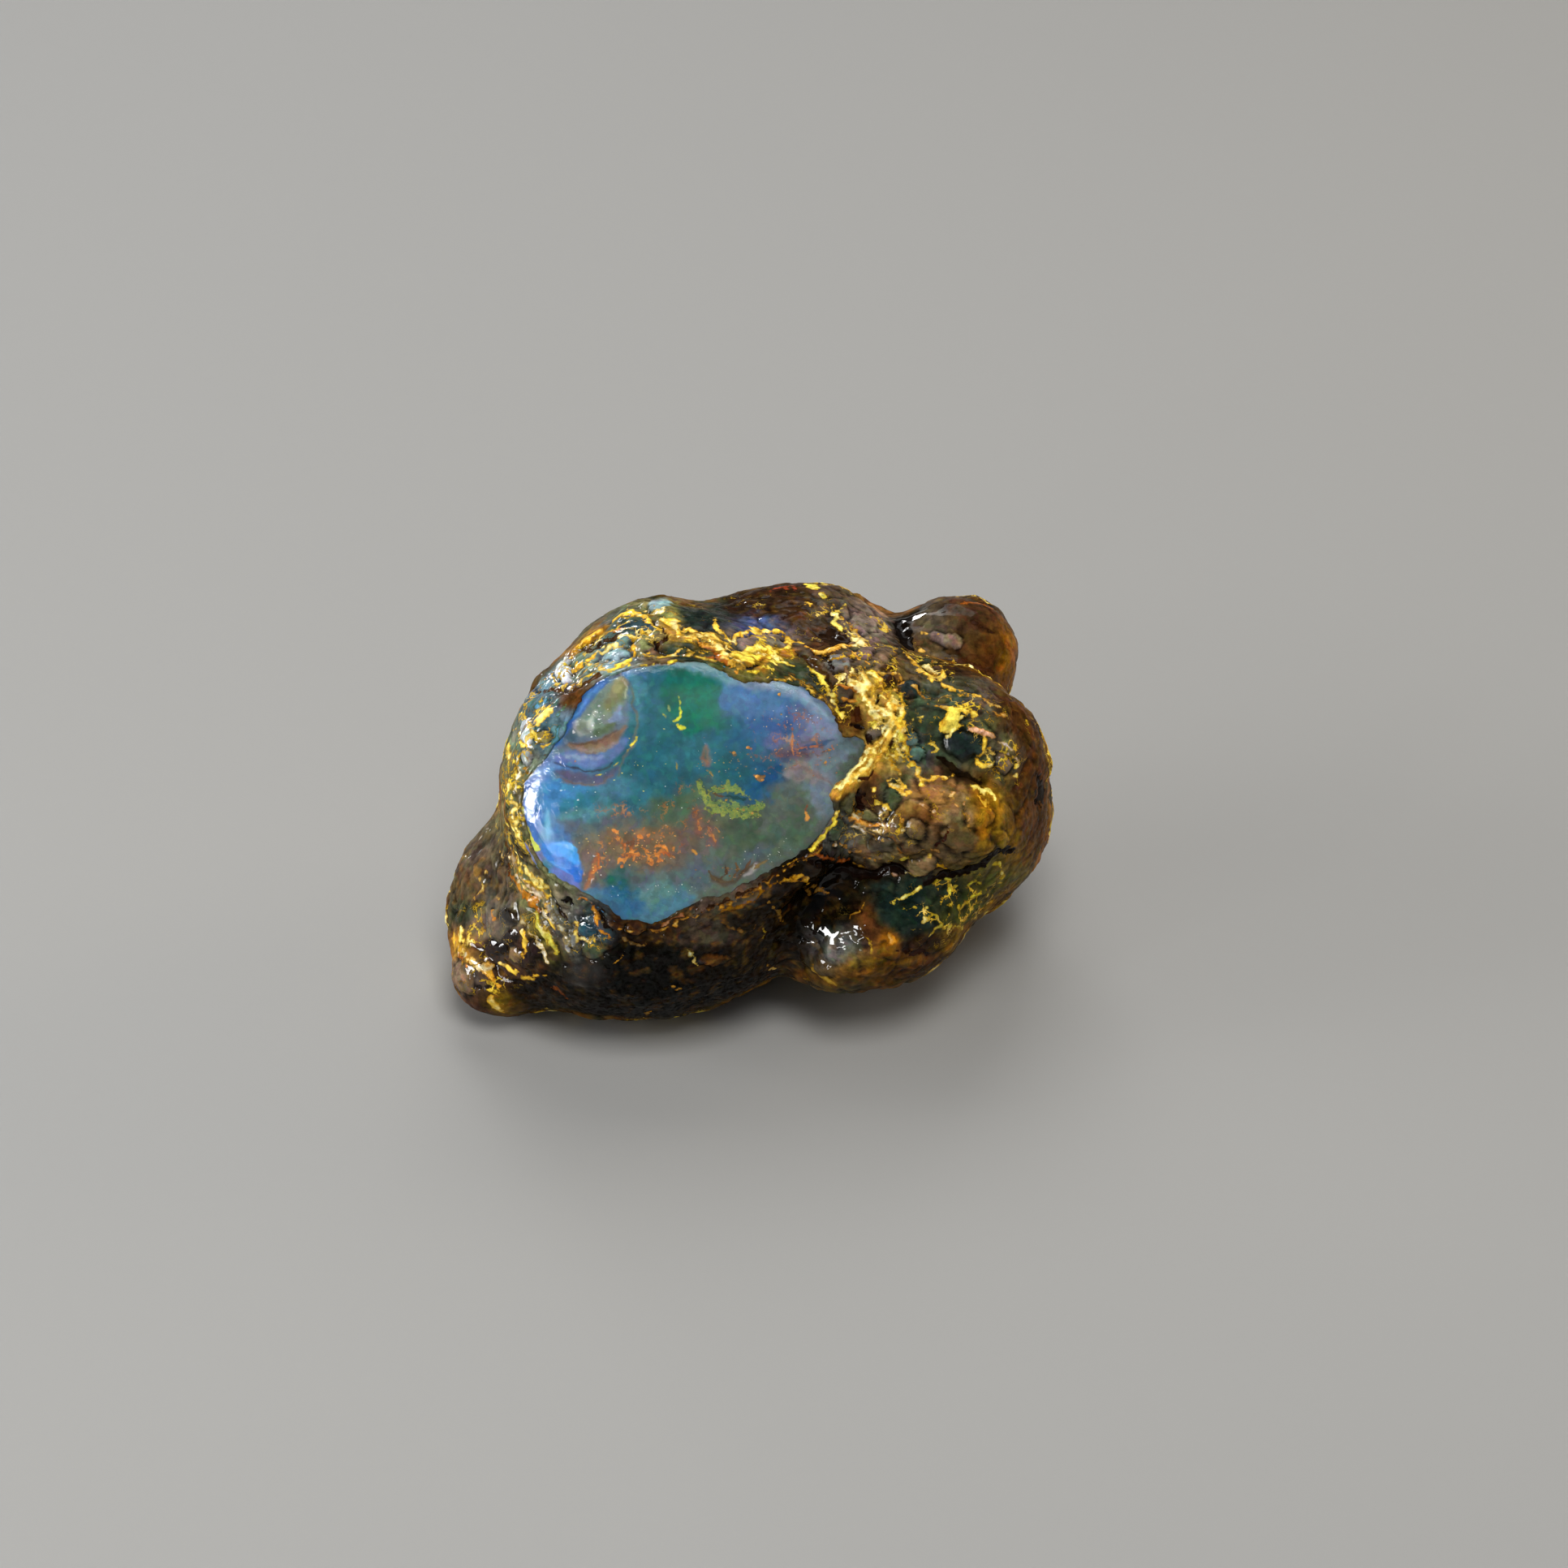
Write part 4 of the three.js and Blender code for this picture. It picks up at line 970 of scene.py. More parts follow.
NOSE = (
    *bundle(("#c8b498", "#a08c6c", "#e4d8bc", "#c8a048"), 0.9, 0.12, (-23.3, -4.6), (-22.3, -6.2),
            (-21.4, -7.6), (-20.4, -9), (-19, -10.7)),
    *strokes(
        ("#b87820", 0.1, (0.3, 0.6, 0.5, 0.3), (-22.6, -7.1), (-21.8, -8.3), (-21.1, -9.4), (-20.3, -10.3)),
        ("#6a3a14", -0.2, 0.4, (-23.1, -6.3), (-22.5, -8)),
    ),
    *bundle(("#8a8a80", "#64645e", "#b4b2a8", "#787870", "#9c9a90"), 1.3, 0.1, (-19.3, -9.9), (-18.3, -11.6),
            (-17.3, -13.2), (-16.3, -14.9)),
    *strokes(
        ("#b4b2a4", 0.1, 0.2, (-18.8, -10.8), (-17.9, -12.3), (-16.9, -13.8)),
        ("#8a8a8c", 0.15, 0.4, (-18.2, -12.8), (-17.4, -14), (-16.9, -15)),
        ("#c0b848", 0.2, (0.3, 0.7, 0.6, 0.3), (-20.6, -10.8), (-19.9, -11.8), (-19.2, -13), (-18.7, -14.8)),
        ("#e0c450", 0.15, (0.1, 0.25, 0.2), (-19.9, -9.6), (-19.2, -11), (-18.4, -12.4)),
        ("#2a1c10", -0.25, 0.3, (-18.6, -9.4), (-17.9, -10.6), (-17.1, -11.8)),
        ("#120c08", -0.5, 0.6, (-17.7, -9.3), (-17, -9.9)),
        ("#c88a3c", 0.1, 0.5, (-24.4, -10.5), (-24.2, -11.6)),
        ("#f0c840", 0.3, (0.4, 0.8, 0.6, 0.3), (-21.9, -12.4), (-21.5, -13.4), (-21.6, -14.7)),
        ("#9a9a88", 0.15, 0.8, (-22, -11.2), (-21.2, -12)),
        ("#d8d0b8", 0.15, 0.28, (-20.8, -12.7), (-20.2, -13.8), (-19.5, -15.9)),
        ("#e8b83c", 0.1, 1.1, (-28.3, -12.9), (-28.6, -14.1)),
        ("#f6e070", 0.2, (0.5, 1.2, 0.8), (-27.3, -12.1), (-27.3, -13.1)),
    ),
    *bundle(("#e4d4a8", "#c8a460", "#f8ecc8", "#b88c44"), 1, 0.12, (-27.9, -14), (-26.6, -14.8),
            (-25.6, -15.6), (-24.7, -16.4)),
    *strokes(
        ("#d08028", 0, 0.3, (-28, -14.9), (-27.2, -15.4), (-26.4, -16)),
        ("#d8a030", 0.2, (0.2, 0.5, 0.3), (-25.4, -15.9), (-24.9, -16.8), (-24, -18)),
        ("#f0c83c", 0.2, 0.6, (-24.1, -15.9), (-23.3, -16.3), (-22.3, -16.4)),
        ("#e0b838", 0.15, 0.35, (-21.7, -16.6), (-20.8, -16.8), (-19.7, -16.8)),
        ("#1c120c", -0.3, 0.6, (-26, -17.7), (-24.8, -17.9)),
        ("#1c1209", -0.3, 0.5, (-23.2, -17.4), (-21.8, -17.6)),
        ("#e0b83c", 0, 0.9, (-24.9, -18.9), (-24.3, -19.5), (-23.5, -19.9)),
        ("#c8b070", 0, 0.2, (-25.6, -7), (-25.2, -6.6)),
        ("#c8b070", 0, 0.2, (-24.4, -9), (-24, -9.3)),
        ("#b8a060", 0.1, 0.25, (-26.4, -9.4), (-25.8, -8.4), (-26, -7.4)),
    ),
)

PEBBLES = pebbles(
    # The shoulder's white, lilac and olive beads; the white of the two white ones is partly a painted
    # highlight.
    (Rind.IVORY, -17.9, 12.4, 0.8, 1.1, -20, 0.4), (Rind.IVORY, -21.1, 6.4, 0.6, 0.95, 0, 0.4),
    (Rind.ASH, -21.4, 4, 0.5, 0.85, 0, 0.3), (Rind.WHEAT, -19.8, 6, 0.65, 0.65, 0, 0.3),
    (Rind.TEAL, -11, 16.4, 1.7, 0.6, 8, 0.3), (Rind.ICE, -8.6, 18.6, 1, 0.6, 0, 0.15),
    (Rind.ICE, -12.8, 14, 1.7, 0.55, 22, 0.25), (Rind.LICHEN, -10.3, 14.7, 0.8, 1, 0, 0.35),
    # The top ridge's oval cell and pebbles.
    (Rind.ROSE, 1.1, 15.05, 2.2, 0.75, 0, 0.25), (Rind.ROSE, 10.9, 16.9, 1.7, 0.9, -20, 0.3),
    (Rind.PEWTER, 8.2, 13.1, 1.3, 0.7, 0, 0.4), (Rind.BARK, 13, 12.75, 0.75, 0.35, 0, 0.15),
    (Rind.BARK, 13.2, 11.3, 0.75, 0.75, 0, 0.2), (Rind.DUST, 8.7, 10.4, 1, 0.9, 0, 0.4),
    (Rind.ROSE, 10.7, 14.2, 0.8, 0.6, 0, 0.3),
    # The forked vein's grey pebble, and the plates and pebbles right of it.
    (Rind.ROSE, 12, 6.5, 0.8, 0.65, 30, 0.35), (Rind.ROSE, 18.6, 15.3, 1.5, 0.6, -14, 0.08),
    (Rind.MOSS, 17, 13, 0.8, 0.6, 0, 0.2), (Rind.MIDNIGHT, 14.9, 10.6, 0.9, 0.8, 0, 0.3),
    (Rind.SPRUCE, 15.3, 5.8, 0.7, 0.6, 0, 0.1), (Rind.SPRUCE, 15.7, 4.4, 0.7, 0.7, 0, 0.1),
    (Rind.MIDNIGHT, 20.2, 5.3, 1.9, 1.2, -20, 0.5), (Rind.DRIFT, 24.3, 3.4, 0.7, 0.9, 0, 0.4),
    # The cheek's pebbles.
    (Rind.OLIVE, 9.4, -0.4, 0.8, 1, 0, 0.4), (Rind.LICHEN, 11.2, -1.6, 0.8, 0.6, -15, 0.4),
    (Rind.SOIL, 20, -3.7, 1.8, 1.4, 0, 0.3), (Rind.SAND, 15.7, -3, 0.85, 0.95, 0, 0.25),
    (Rind.SOIL, 15, -4.6, 0.9, 0.7, 0, 0.25), (Rind.SAND, 16.3, -6.5, 1.4, 0.8, 0, 0.4),
    (Rind.MOSS, 13.4, 0.3, 0.7, 1, 10, 0.08), (Rind.DUST, 12.2, -4.4, 1, 0.7, 0, 0.25),
    (Rind.FERN, 8.4, -3, 0.8, 0.9, 20, 0.4),
    # The fringe's blue-green pocket and brown patches.
    (Rind.LAKE, -15.5, -12.4, 0.85, 0.7, 0, 0.08), (Rind.FERN, -14.8, -14.3, 1, 0.7, 0, 0.15),
    (Rind.BARK, -11, -12.3, 0.9, 0.8, 0, 0.2), (Rind.CHESTNUT, -3.5, -15.2, 1.4, 0.5, 0, 0.15),
    # The nose's pebbles.
    (Rind.PITCH, -23.2, -11.2, 0.7, 0.8, 0, 0.3), (Rind.PLUM, -24.4, -14, 0.9, 0.8, 0, 0.45),
    (Rind.PLUM, -22.9, -13.2, 0.6, 0.7, 0, 0.35), (Rind.PLUM, -20.6, -14.2, 0.4, 0.8, 0, 0.25),
    (Rind.PLUM, -21.2, -15.3, 0.7, 0.5, 0, 0.25), (Rind.DRIFT, -27.2, -16.8, 1.1, 1.4, 0, 0.4),
    (Rind.SAND, -22.3, -14.8, 0.6, 0.5, 0, 0.3),
)


WET = patches(
    # Where a film of clear resin is left on the crust and it shines like glass.
    (8.2, -13.4, 2.4, 2.2, 0, 1), (-24.4, -11.2, 1.7, 2.8, 20, 1), (-24.4, -15.4, 2.6, 1.5, 0, 0.7),
    (17, 17.3, 2.2, 0.9, -8, 1), (24.4, 4.8, 1.8, 1.5, -30, 0.8), (10.6, -3.2, 3, 1.9, 0, 0.8),
    (7.6, -9, 2, 3.4, 0, 0.5), (-15.6, -12.6, 1.6, 2, 0, 0.6), (-15.6, -16.4, 1.6, 1.2, 0, 0.9),
    (-18.2, 12.4, 1.4, 1.4, 0, 0.9), (-21.1, 6.4, 1, 1.5, 0, 0.9), (14.5, -10, 3.5, 2.5, 0, 0.4),
)

CRUMBS = patches(
    # Where the crust is made of small crumbs of many browns.
    (-6, -16, 11, 4.8, 0, 0.8), (0, -11, 9, 2.2, 12, 0.8), (6, -12.4, 3.6, 4, 0, 0.45),
    (12.6, -16, 6, 2.2, 8, 0.5), (-22, -17.6, 6, 2.6, -10, 0.6), (-26.4, -8, 2.8, 4.6, 0, 0.7),
    (26, 4, 2.8, 8, 0, 0.5), (21, 15.4, 4, 3.6, 0, 0.35), (18, -2.2, 3.8, 3.2, 0, 0.45),
    (3.4, 18.4, 6, 2.2, 0, 0.5), (17.4, 9.4, 4, 2.4, -20, 0.4),
)

SMOOTH = patches(
    # Worn-down knobs, where the relief is only a share as high.
    (20.8, 16, 5, 4.4, 0, 0.75), (-6, -18, 12, 4, 0, 0.4), (-25, -18.6, 5, 3, 0, 0.5),
    (8.2, -13.6, 2, 1.8, 0, 0.65), (-24.4, -11.6, 1.3, 2.2, 0, 0.6),
)

CRUST_WEBS = patches(
    # The seam, the shoulder and the top ridge.
    (-22.4, 0, 1.8, 8, 0, 0.15), (-20.5, 7.5, 2.2, 3, 0, 0.13), (-15, 14, 6, 2.2, 38, 0.14),
    (-10, 16.5, 4, 2.2, 15, 0.13), (-4, 15.5, 5, 1.6, -20, 0.13), (1.5, 14.3, 4, 1.8, 0, 0.13),
    (7.6, 16.8, 3, 3, 0, 0.1),
    # The fork, the brow and the cheek.
    (10.4, 12, 4, 4.4, 0, 0.15), (12.4, 6, 3, 4.6, -20, 0.17), (16.6, 12.6, 3.6, 2.2, -30, 0.15),
    (19.5, 8, 4.6, 3.6, -10, 0.11), (23.6, 4.4, 2.4, 3.2, 0, 0.12), (18, -0.4, 5, 3.4, -20, 0.05),
    (22, -1.2, 2, 3.4, 0, 0.12), (11.6, -3, 5, 3, -20, 0.1), (25.4, 6, 2.6, 10, 0, 0.06),
    (13, -16, 7, 2, 8, 0.04), (0, 19, 7, 1.6, 0, 0.06),
    # The heel, the fringe, the belly and the nose.
    (9.4, -12, 5, 5, 0, 0.03), (19.6, -10, 5.4, 3.8, 20, 0.11), (-16.4, -12.6, 3, 3.2, 0, 0.1),
    (-21, -12, 4, 5, -30, 0.06), (-26, -13.6, 3, 4, 0, 0.11), (-25, -18, 4, 2.2, 0, 0.09),
    (-4, -11.4, 9, 1.8, 12, 0.035), (-8, -17, 11, 3.4, 0, 0.02),
)


# --- Finishes ---


def add(tree: bpy.types.NodeTree, kind: str, settings: dict | None = None,
        feeds: dict | tuple = ()) -> bpy.types.Node:
    """Adds a shader node.

    Args:
        tree: The material's nodes.
        kind: The node's type, without its ShaderNode prefix.
        settings: Values of the node's own properties.
        feeds: What its inputs are given, in order or by name or number: values, or outputs to link.

    Returns:
        The node.
    """
    node = tree.nodes.new("ShaderNode" + kind)
    for name, value in (settings or {}).items():
        setattr(node, name, value)
    for name, value in feeds.items() if isinstance(feeds, dict) else enumerate(feeds):
        if isinstance(value, Socket):
            tree.links.new(value, node.inputs[name])
        else:
            node.inputs[name].default_value = value
    return node


# Settings that many nodes share: a smooth ramp, a mix of two colours, and one colour times another.
EASED = {"interpolation_type": "SMOOTHSTEP"}
COLOURS = {"data_type": "RGBA"}
TIMES = {"data_type": "RGBA", "blend_type": "MULTIPLY"}
# A colour mix's inputs and its output by number, because their names stand for its other kinds as well.
SHARE, UNDER, OVER, MIXED = 0, 6, 7, 2


def per_metre(size: float) -> float:
    """The texture scale that repeats a pattern every size millimetres."""
    return 1 / (size * MM)


class Layer(Enum):
    """The values that a drawing leaves on a mesh, for its finish to read."""

    GROUND = "ground"
    MARK = "mark"
    MARK_TINT = "mark_tint"
    WEB = "web"
    WEB_TINT = "web_tint"
    WET = "wet"


def blank_material(name: str) -> tuple[bpy.types.Material, bpy.types.NodeTree, bpy.types.Node]:
    """Starts a material with nothing but its output node."""
    material = bpy.data.materials.new(name)
    material.use_nodes = True
    tree = material.node_tree
    tree.nodes.clear()
    return material, tree, add(tree, "OutputMaterial")


@dataclass(frozen=True)
class DrawnFinish:
    """Opaque amber whose colours come from its drawing, broken up finely by grain.

    Attributes:
        name: The material's name.
        fray: How far noise moves the edges of the drawn marks.
        fray_size: The size of that noise.
        border: What the thin edges of threads are tinted with.
        mottle: The least and the most that the mottling multiplies the colours by.
        mottle_size: The size of the mottling.
        roughness: The least and the most roughness.
        coat: The least and the most clear coat.
        specular: How much the amber under the coat mirrors.
        bump: How high the fine grain stands.
        bump_size: The size of the fine grain.
        web_size: The width of the grains that the web of threads runs round.
        tile_size: The width of the many-coloured grains.
        tile_share: How strongly their colours tint the ground.
        core: How far inside a thread it is quite opaque.
    """

    name: str
    fray: float
    fray_size: float
    border: str
    mottle: Spot
    mottle_size: float
    roughness: Spot
    coat: Spot
    specular: float
    bump: float
    bump_size: float
    web_size: float = 1.0
    tile_size: float = 1.0
    tile_share: float = 0.0
    core: float = 0.1

    def thread(self, tree: bpy.types.NodeTree, away: Socket, tint: Socket) -> Socket:
        """Colours a thread, which is clear amber at its edges and opaque in its core.

        Args:
            tree: The material's nodes.
            away: How far the surface is outside the thread, in millimetres.
            tint: The colour of the thread's core.

        Returns:
            The thread's colour.
        """
        node = partial(add, tree)
        core = node("MapRange", EASED, (away, 0.0, -self.core, 0.0, 1.0)).outputs[0]
        clear = node("Mix", TIMES, {SHARE: 1.0, UNDER: tint, OVER: rgba(self.border)}).outputs[MIXED]
        return node("Mix", COLOURS, {SHARE: core, UNDER: clear, OVER: tint}).outputs[MIXED]

    def webbed(self, tree: bpy.types.NodeTree, place: Socket,
               drawn: dict[Layer, bpy.types.NodeOutputs]) -> tuple[Socket, Socket]:
        """Breaks the drawn ground into small many-coloured grains with a web of threads between them.

        Args:
            tree: The material's nodes.
            place: Where on the piece the surface is.
            drawn: What the drawing left on the mesh.

        Returns:
            The broken-up colour, and how much the web covers.
        """
        node = partial(add, tree)
        bend = node("TexNoise", feeds={"Vector": place, "Scale": per_metre(1.1 * self.web_size),
                                       "Detail": 5.0, "Roughness": 0.6}).outputs["Color"]
        reach = (2.2 * self.web_size * MM,) * 3
        bent = node("VectorMath", {"operation": "MULTIPLY_ADD"}, (bend, reach, place)).outputs[0]
        tiles = node("TexVoronoi", {"feature": "SMOOTH_F1"},
                     {"Vector": bent, "Scale": per_metre(self.tile_size), "Smoothness": 0.5}).outputs["Color"]
        tame = node("HueSaturation", feeds={"Saturation": 0.6, "Color": tiles}).outputs[0]
        tiled = node("Mix", {"data_type": "RGBA", "blend_type": "SOFT_LIGHT"},
                     {SHARE: self.tile_share, UNDER: drawn[Layer.GROUND]["Color"], OVER: tame}).outputs[MIXED]
        grains = node("TexVoronoi", {"feature": "DISTANCE_TO_EDGE"},
                      {"Vector": bent, "Scale": per_metre(self.web_size)}).outputs["Distance"]
        patchy = node("TexNoise", feeds={"Vector": place, "Scale": per_metre(1.7 * self.web_size),
                                         "Detail": 4.0}).outputs["Fac"]
        some = node("MapRange", feeds=(patchy, 0.42, 0.62, 0.0, 2.0)).outputs[0]
        width = node("Math", {"operation": "MULTIPLY"}, (some, drawn[Layer.WEB]["Fac"])).outputs[0]
        beside = node("Math", {"operation": "MULTIPLY_ADD"}, (grains, self.web_size, 0.07)).outputs[0]
        away = node("Math", {"operation": "SUBTRACT"}, (beside, width)).outputs[0]
        share = node("MapRange", EASED, (away, 0.04, -0.03, 0.0, 1.0)).outputs[0]
        thread = self.thread(tree, away, drawn[Layer.WEB_TINT]["Color"])
        return node("Mix", COLOURS, {SHARE: share, UNDER: tiled, OVER: thread}).outputs[MIXED], share

    def material(self) -> bpy.types.Material:
        """Builds the finish as a material."""
        material, tree, output = blank_material(self.name)
        node = partial(add, tree)
        place = node("TexCoord").outputs["Object"]
        drawn = {layer: node("Attribute", {"attribute_name": layer.value}).outputs for layer in Layer}
        ground, web = self.webbed(tree, place, drawn)
        # The drawn marks get ragged, crisp edges, as mineral threads in resin have.
        ragged = node("TexNoise", feeds={"Vector": place, "Scale": per_metre(self.fray_size), "Detail": 3.0})
        moved = node("MapRange", feeds=(ragged.outputs["Fac"], 0.25, 0.75, -self.fray, self.fray)).outputs[0]
        edge = node("Math", {"operation": "ADD"}, (drawn[Layer.MARK]["Fac"], moved)).outputs[0]
        share = node("MapRange", EASED, (edge, 0.05, -0.05, 0.0, 1.0)).outputs[0]
        thread = self.thread(tree, edge, drawn[Layer.MARK_TINT]["Color"])
        colour = node("Mix", COLOURS, {SHARE: share, UNDER: ground, OVER: thread}).outputs[MIXED]
        mottle = node("TexNoise", feeds={"Vector": place, "Scale": per_metre(self.mottle_size),
                                         "Detail": 5.0, "Roughness": 0.65}).outputs["Fac"]
        strength = node("MapRange", feeds=(mottle, 0.3, 0.7, *self.mottle)).outputs[0]
        shaded = node("Mix", TIMES, {SHARE: 1.0, UNDER: colour, OVER: strength}).outputs[MIXED]
        # The film of clear resin and the roughness vary with the grain and the mottling.
        grain = node("TexNoise", feeds={"Vector": place, "Scale": per_metre(self.bump_size),
                                        "Detail": 3.0}).outputs["Fac"]
        rub = node("MapRange", feeds=(mottle, 0.35, 0.65, *self.roughness)).outputs[0]
        film = node("MapRange", feeds=(grain, 0.35, 0.6, *self.coat)).outputs[0]
        wet = node("Math", {"use_clamp": True}, (film, drawn[Layer.WET]["Fac"])).outputs[0]
        height = node("Math", {"operation": "MULTIPLY_ADD"}, (web, 0.5, grain)).outputs[0]
        bump = node("Bump", feeds={"Height": height, "Strength": 1.0, "Distance": self.bump * MM}).outputs[0]
        shader = node("BsdfPrincipled", feeds={"Base Color": shaded, "Roughness": rub, "IOR": AMBER_IOR,
                                               "Specular IOR Level": self.specular, "Coat Weight": wet,
                                               "Coat Roughness": 0.04, "Normal": bump})
        tree.links.new(shader.outputs[0], output.inputs["Surface"])
        return material


@dataclass(frozen=True)
class ClearAmberFinish:
    """Clear fossil resin, ground and polished: glass-like, and faintly honey-coloured in its depth.

    Attributes:
        name: The material's name.
        tint: What is left of white light in its depth.
        density: How strongly it absorbs the rest, for each metre.
        roughness: How much the polish blurs.
        ripple: How high the polish's faint ripples stand.
        ripple_size: The size of the ripples.
    """

    name: str = "clear_amber_polished"
    tint: str = "#f8ecd0"
    density: float = 30.0
    roughness: float = 0.05
    ripple: float = 0.2
    ripple_size: float = 1.2

    def material(self) -> bpy.types.Material:
        """Builds the finish as a material."""
        material, tree, output = blank_material(self.name)
        node = partial(add, tree)
        place = node("TexCoord").outputs["Object"]
        wave = node("TexNoise", feeds={"Vector": place, "Scale": per_metre(self.ripple_size),
                                       "Detail": 5.0}).outputs["Fac"]
        bump = node("Bump", feeds={"Height": wave, "Strength": 1.0, "Distance": self.ripple * MM}).outputs[0]
        shader = node("BsdfPrincipled", feeds={"Base Color": (1.0, 1.0, 1.0, 1.0), "IOR": AMBER_IOR,
                                               "Roughness": self.roughness, "Transmission Weight": 1.0,
                                               "Normal": bump})
        depth = node("VolumeAbsorption", feeds={"Color": rgba(self.tint), "Density": self.density})
        tree.links.new(shader.outputs[0], output.inputs["Surface"])
        tree.links.new(depth.outputs[0], output.inputs["Volume"])
        return material


# Weathered amber crust, tumbled clean and wetted: glossy ridges, duller pits, ragged mineral threads.
CRUST_FINISH = DrawnFinish(
    "amber_crust_tumbled", fray=0.2, fray_size=0.6, border="#d0b468", mottle=(0.4, 1.55), mottle_size=0.9,
    roughness=(0.12, 0.42), coat=(0.05, 0.3), specular=0.0, bump=0.1, bump_size=0.4, web_size=1.2,
    tile_size=0.8, tile_share=0.3, core=0.2,
)
# Milky amber under the clear layer: it has no gloss of its own, and its clouds are finely curdled.
HEART_FINISH = DrawnFinish(
    "milky_amber_curdled", fray=0.1, fray_size=0.4, border="#e4d8c4", mottle=(0.76, 1.24), mottle_size=1.0,
    roughness=(0.6, 0.75), coat=(0.0, 0.0), specular=0.1, bump=0.0, bump_size=0.5, web_size=0.7,
    tile_size=0.6, tile_share=0.3,
)
# Platelets of pyrite-like gold and orange resin sealed in the clear layer, and white ones that are painted
# glints.
FLECK_FINISH = DrawnFinish(
    "sealed_flecks_gold", fray=0.0, fray_size=0.5, border="#ffffff", mottle=(0.8, 1.2), mottle_size=0.3,
    roughness=(0.3, 0.45), coat=(0.0, 0.0), specular=0.4, bump=0.0, bump_size=0.2,
)


# --- Meshes ---


def places_of(bm: bmesh.types.BMesh) -> np.ndarray:
    """Every vertex's place, in millimetres."""
    return np.array([v.co[:] for v in bm.verts], float).reshape(-1, 3)


def normals_of(bm: bmesh.types.BMesh) -> np.ndarray:
    """Every vertex's outward direction."""
    bm.normal_update()
    return np.array([v.normal[:] for v in bm.verts], float).reshape(-1, 3)


def move_to(bm: bmesh.types.BMesh, places: np.ndarray) -> None:
    """Puts every vertex at its place."""
    for v, place in zip(bm.verts, places.tolist()):
        v.co = place


def averaged(bm: bmesh.types.BMesh, values: np.ndarray, rounds: int) -> np.ndarray:
    """Spreads values over the mesh by repeated averaging with each vertex's neighbours.

    Args:
        bm: The mesh.
        values: One row for each vertex.
        rounds: How many times to average.

    Returns:
        The smoother values.
    """
    bm.verts.index_update()
    ends = np.array([(a.index, b.index) for a, b in (e.verts for e in bm.edges)])
    a, b = np.concatenate([ends[:, 0], ends[:, 1]]), np.concatenate([ends[:, 1], ends[:, 0]])
    count = np.maximum(np.bincount(a, minlength=len(values)), 1)
    rows = values.reshape(len(values), -1)
    for _ in range(rounds):
        mean = np.stack([np.bincount(a, row[b], len(values)) / count for row in rows.T], 1)
        rows = (rows + mean) / 2
    return rows.reshape(values.shape)


def finish_piece(bm: bmesh.types.BMesh, name: str, material: bpy.types.Material) -> bpy.types.Object:
    """Hands a mesh to Blender as a smooth piece that rides on the nodule.

    Args:
        bm: The mesh, in millimetres; it is freed.
        name: The piece's name.
        material: Its finish.

    Returns:
        The piece.
    """
    bmesh.ops.triangulate(bm, faces=bm.faces)
    bmesh.ops.scale(bm, vec=(MM, MM, MM), verts=bm.verts)
    for face in bm.faces:
        face.smooth = True
    mesh = bpy.data.meshes.new(name)
    bm.to_mesh(mesh)
    bm.free()
    mesh.materials.append(material)
    piece = bpy.data.objects.new(name, mesh)
    bpy.context.scene.collection.objects.link(piece)
    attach(piece, BODY)
    return piece


def store(piece: bpy.types.Object, layer: Layer, values: np.ndarray) -> None:
    """Stores a colour or a number for each vertex of a piece, for its finish to read."""
    mesh = piece.data
    if values.ndim == 2:
        full = np.ones((len(values), 4), np.float32)
        full[:, :3] = np.clip(values, 0, 1)
        mesh.attributes.new(layer.value, "FLOAT_COLOR", "POINT").data.foreach_set("color", full.ravel())
    else:
        kept = values.astype(np.float32)
        mesh.attributes.new(layer.value, "FLOAT", "POINT").data.foreach_set("value", kept)


CRUMB_COLOURS = ("#202a28", "#4a3014", "#8a6024", "#6a5a30", "#a87c30", "#5a2e16", "#38342a", "#34444a")
HIDDEN_COLOURS = ("#2a1e0e", "#5e4012", "#946218", "#4a4a30", "#80591a", "#3a2c16")
GOLD_COLOURS = ("#7a5c18", "#c8a434", "#f0e060", "#dcc444", "#fff4b0", "#b88e2c")
FIRE_COLOURS = ("#7a5038", "#c87436", "#f0a44c", "#c06034", "#e4b060")
GREENS = ("#4f7c5c", "#98a84c", "#6c9058", "#b8b450", "#5f8a58", "#8ca04c")
# The ground that no cloud reaches and the thread that no line reaches.
PLAIN_GROUND, PLAIN_THREAD = "#4a3c28", "#c89a38"


def shades(value: np.ndarray, colours: tuple[str, ...]) -> np.ndarray:
    """Picks a colour between a row of colours, where value goes from 0 to 1 along it."""
    stops = np.linspace(0, 1, len(colours))
    table = np.array([linear(colour) for colour in colours])
    return np.stack([np.interp(value, stops, channel) for channel in table.T], 1)


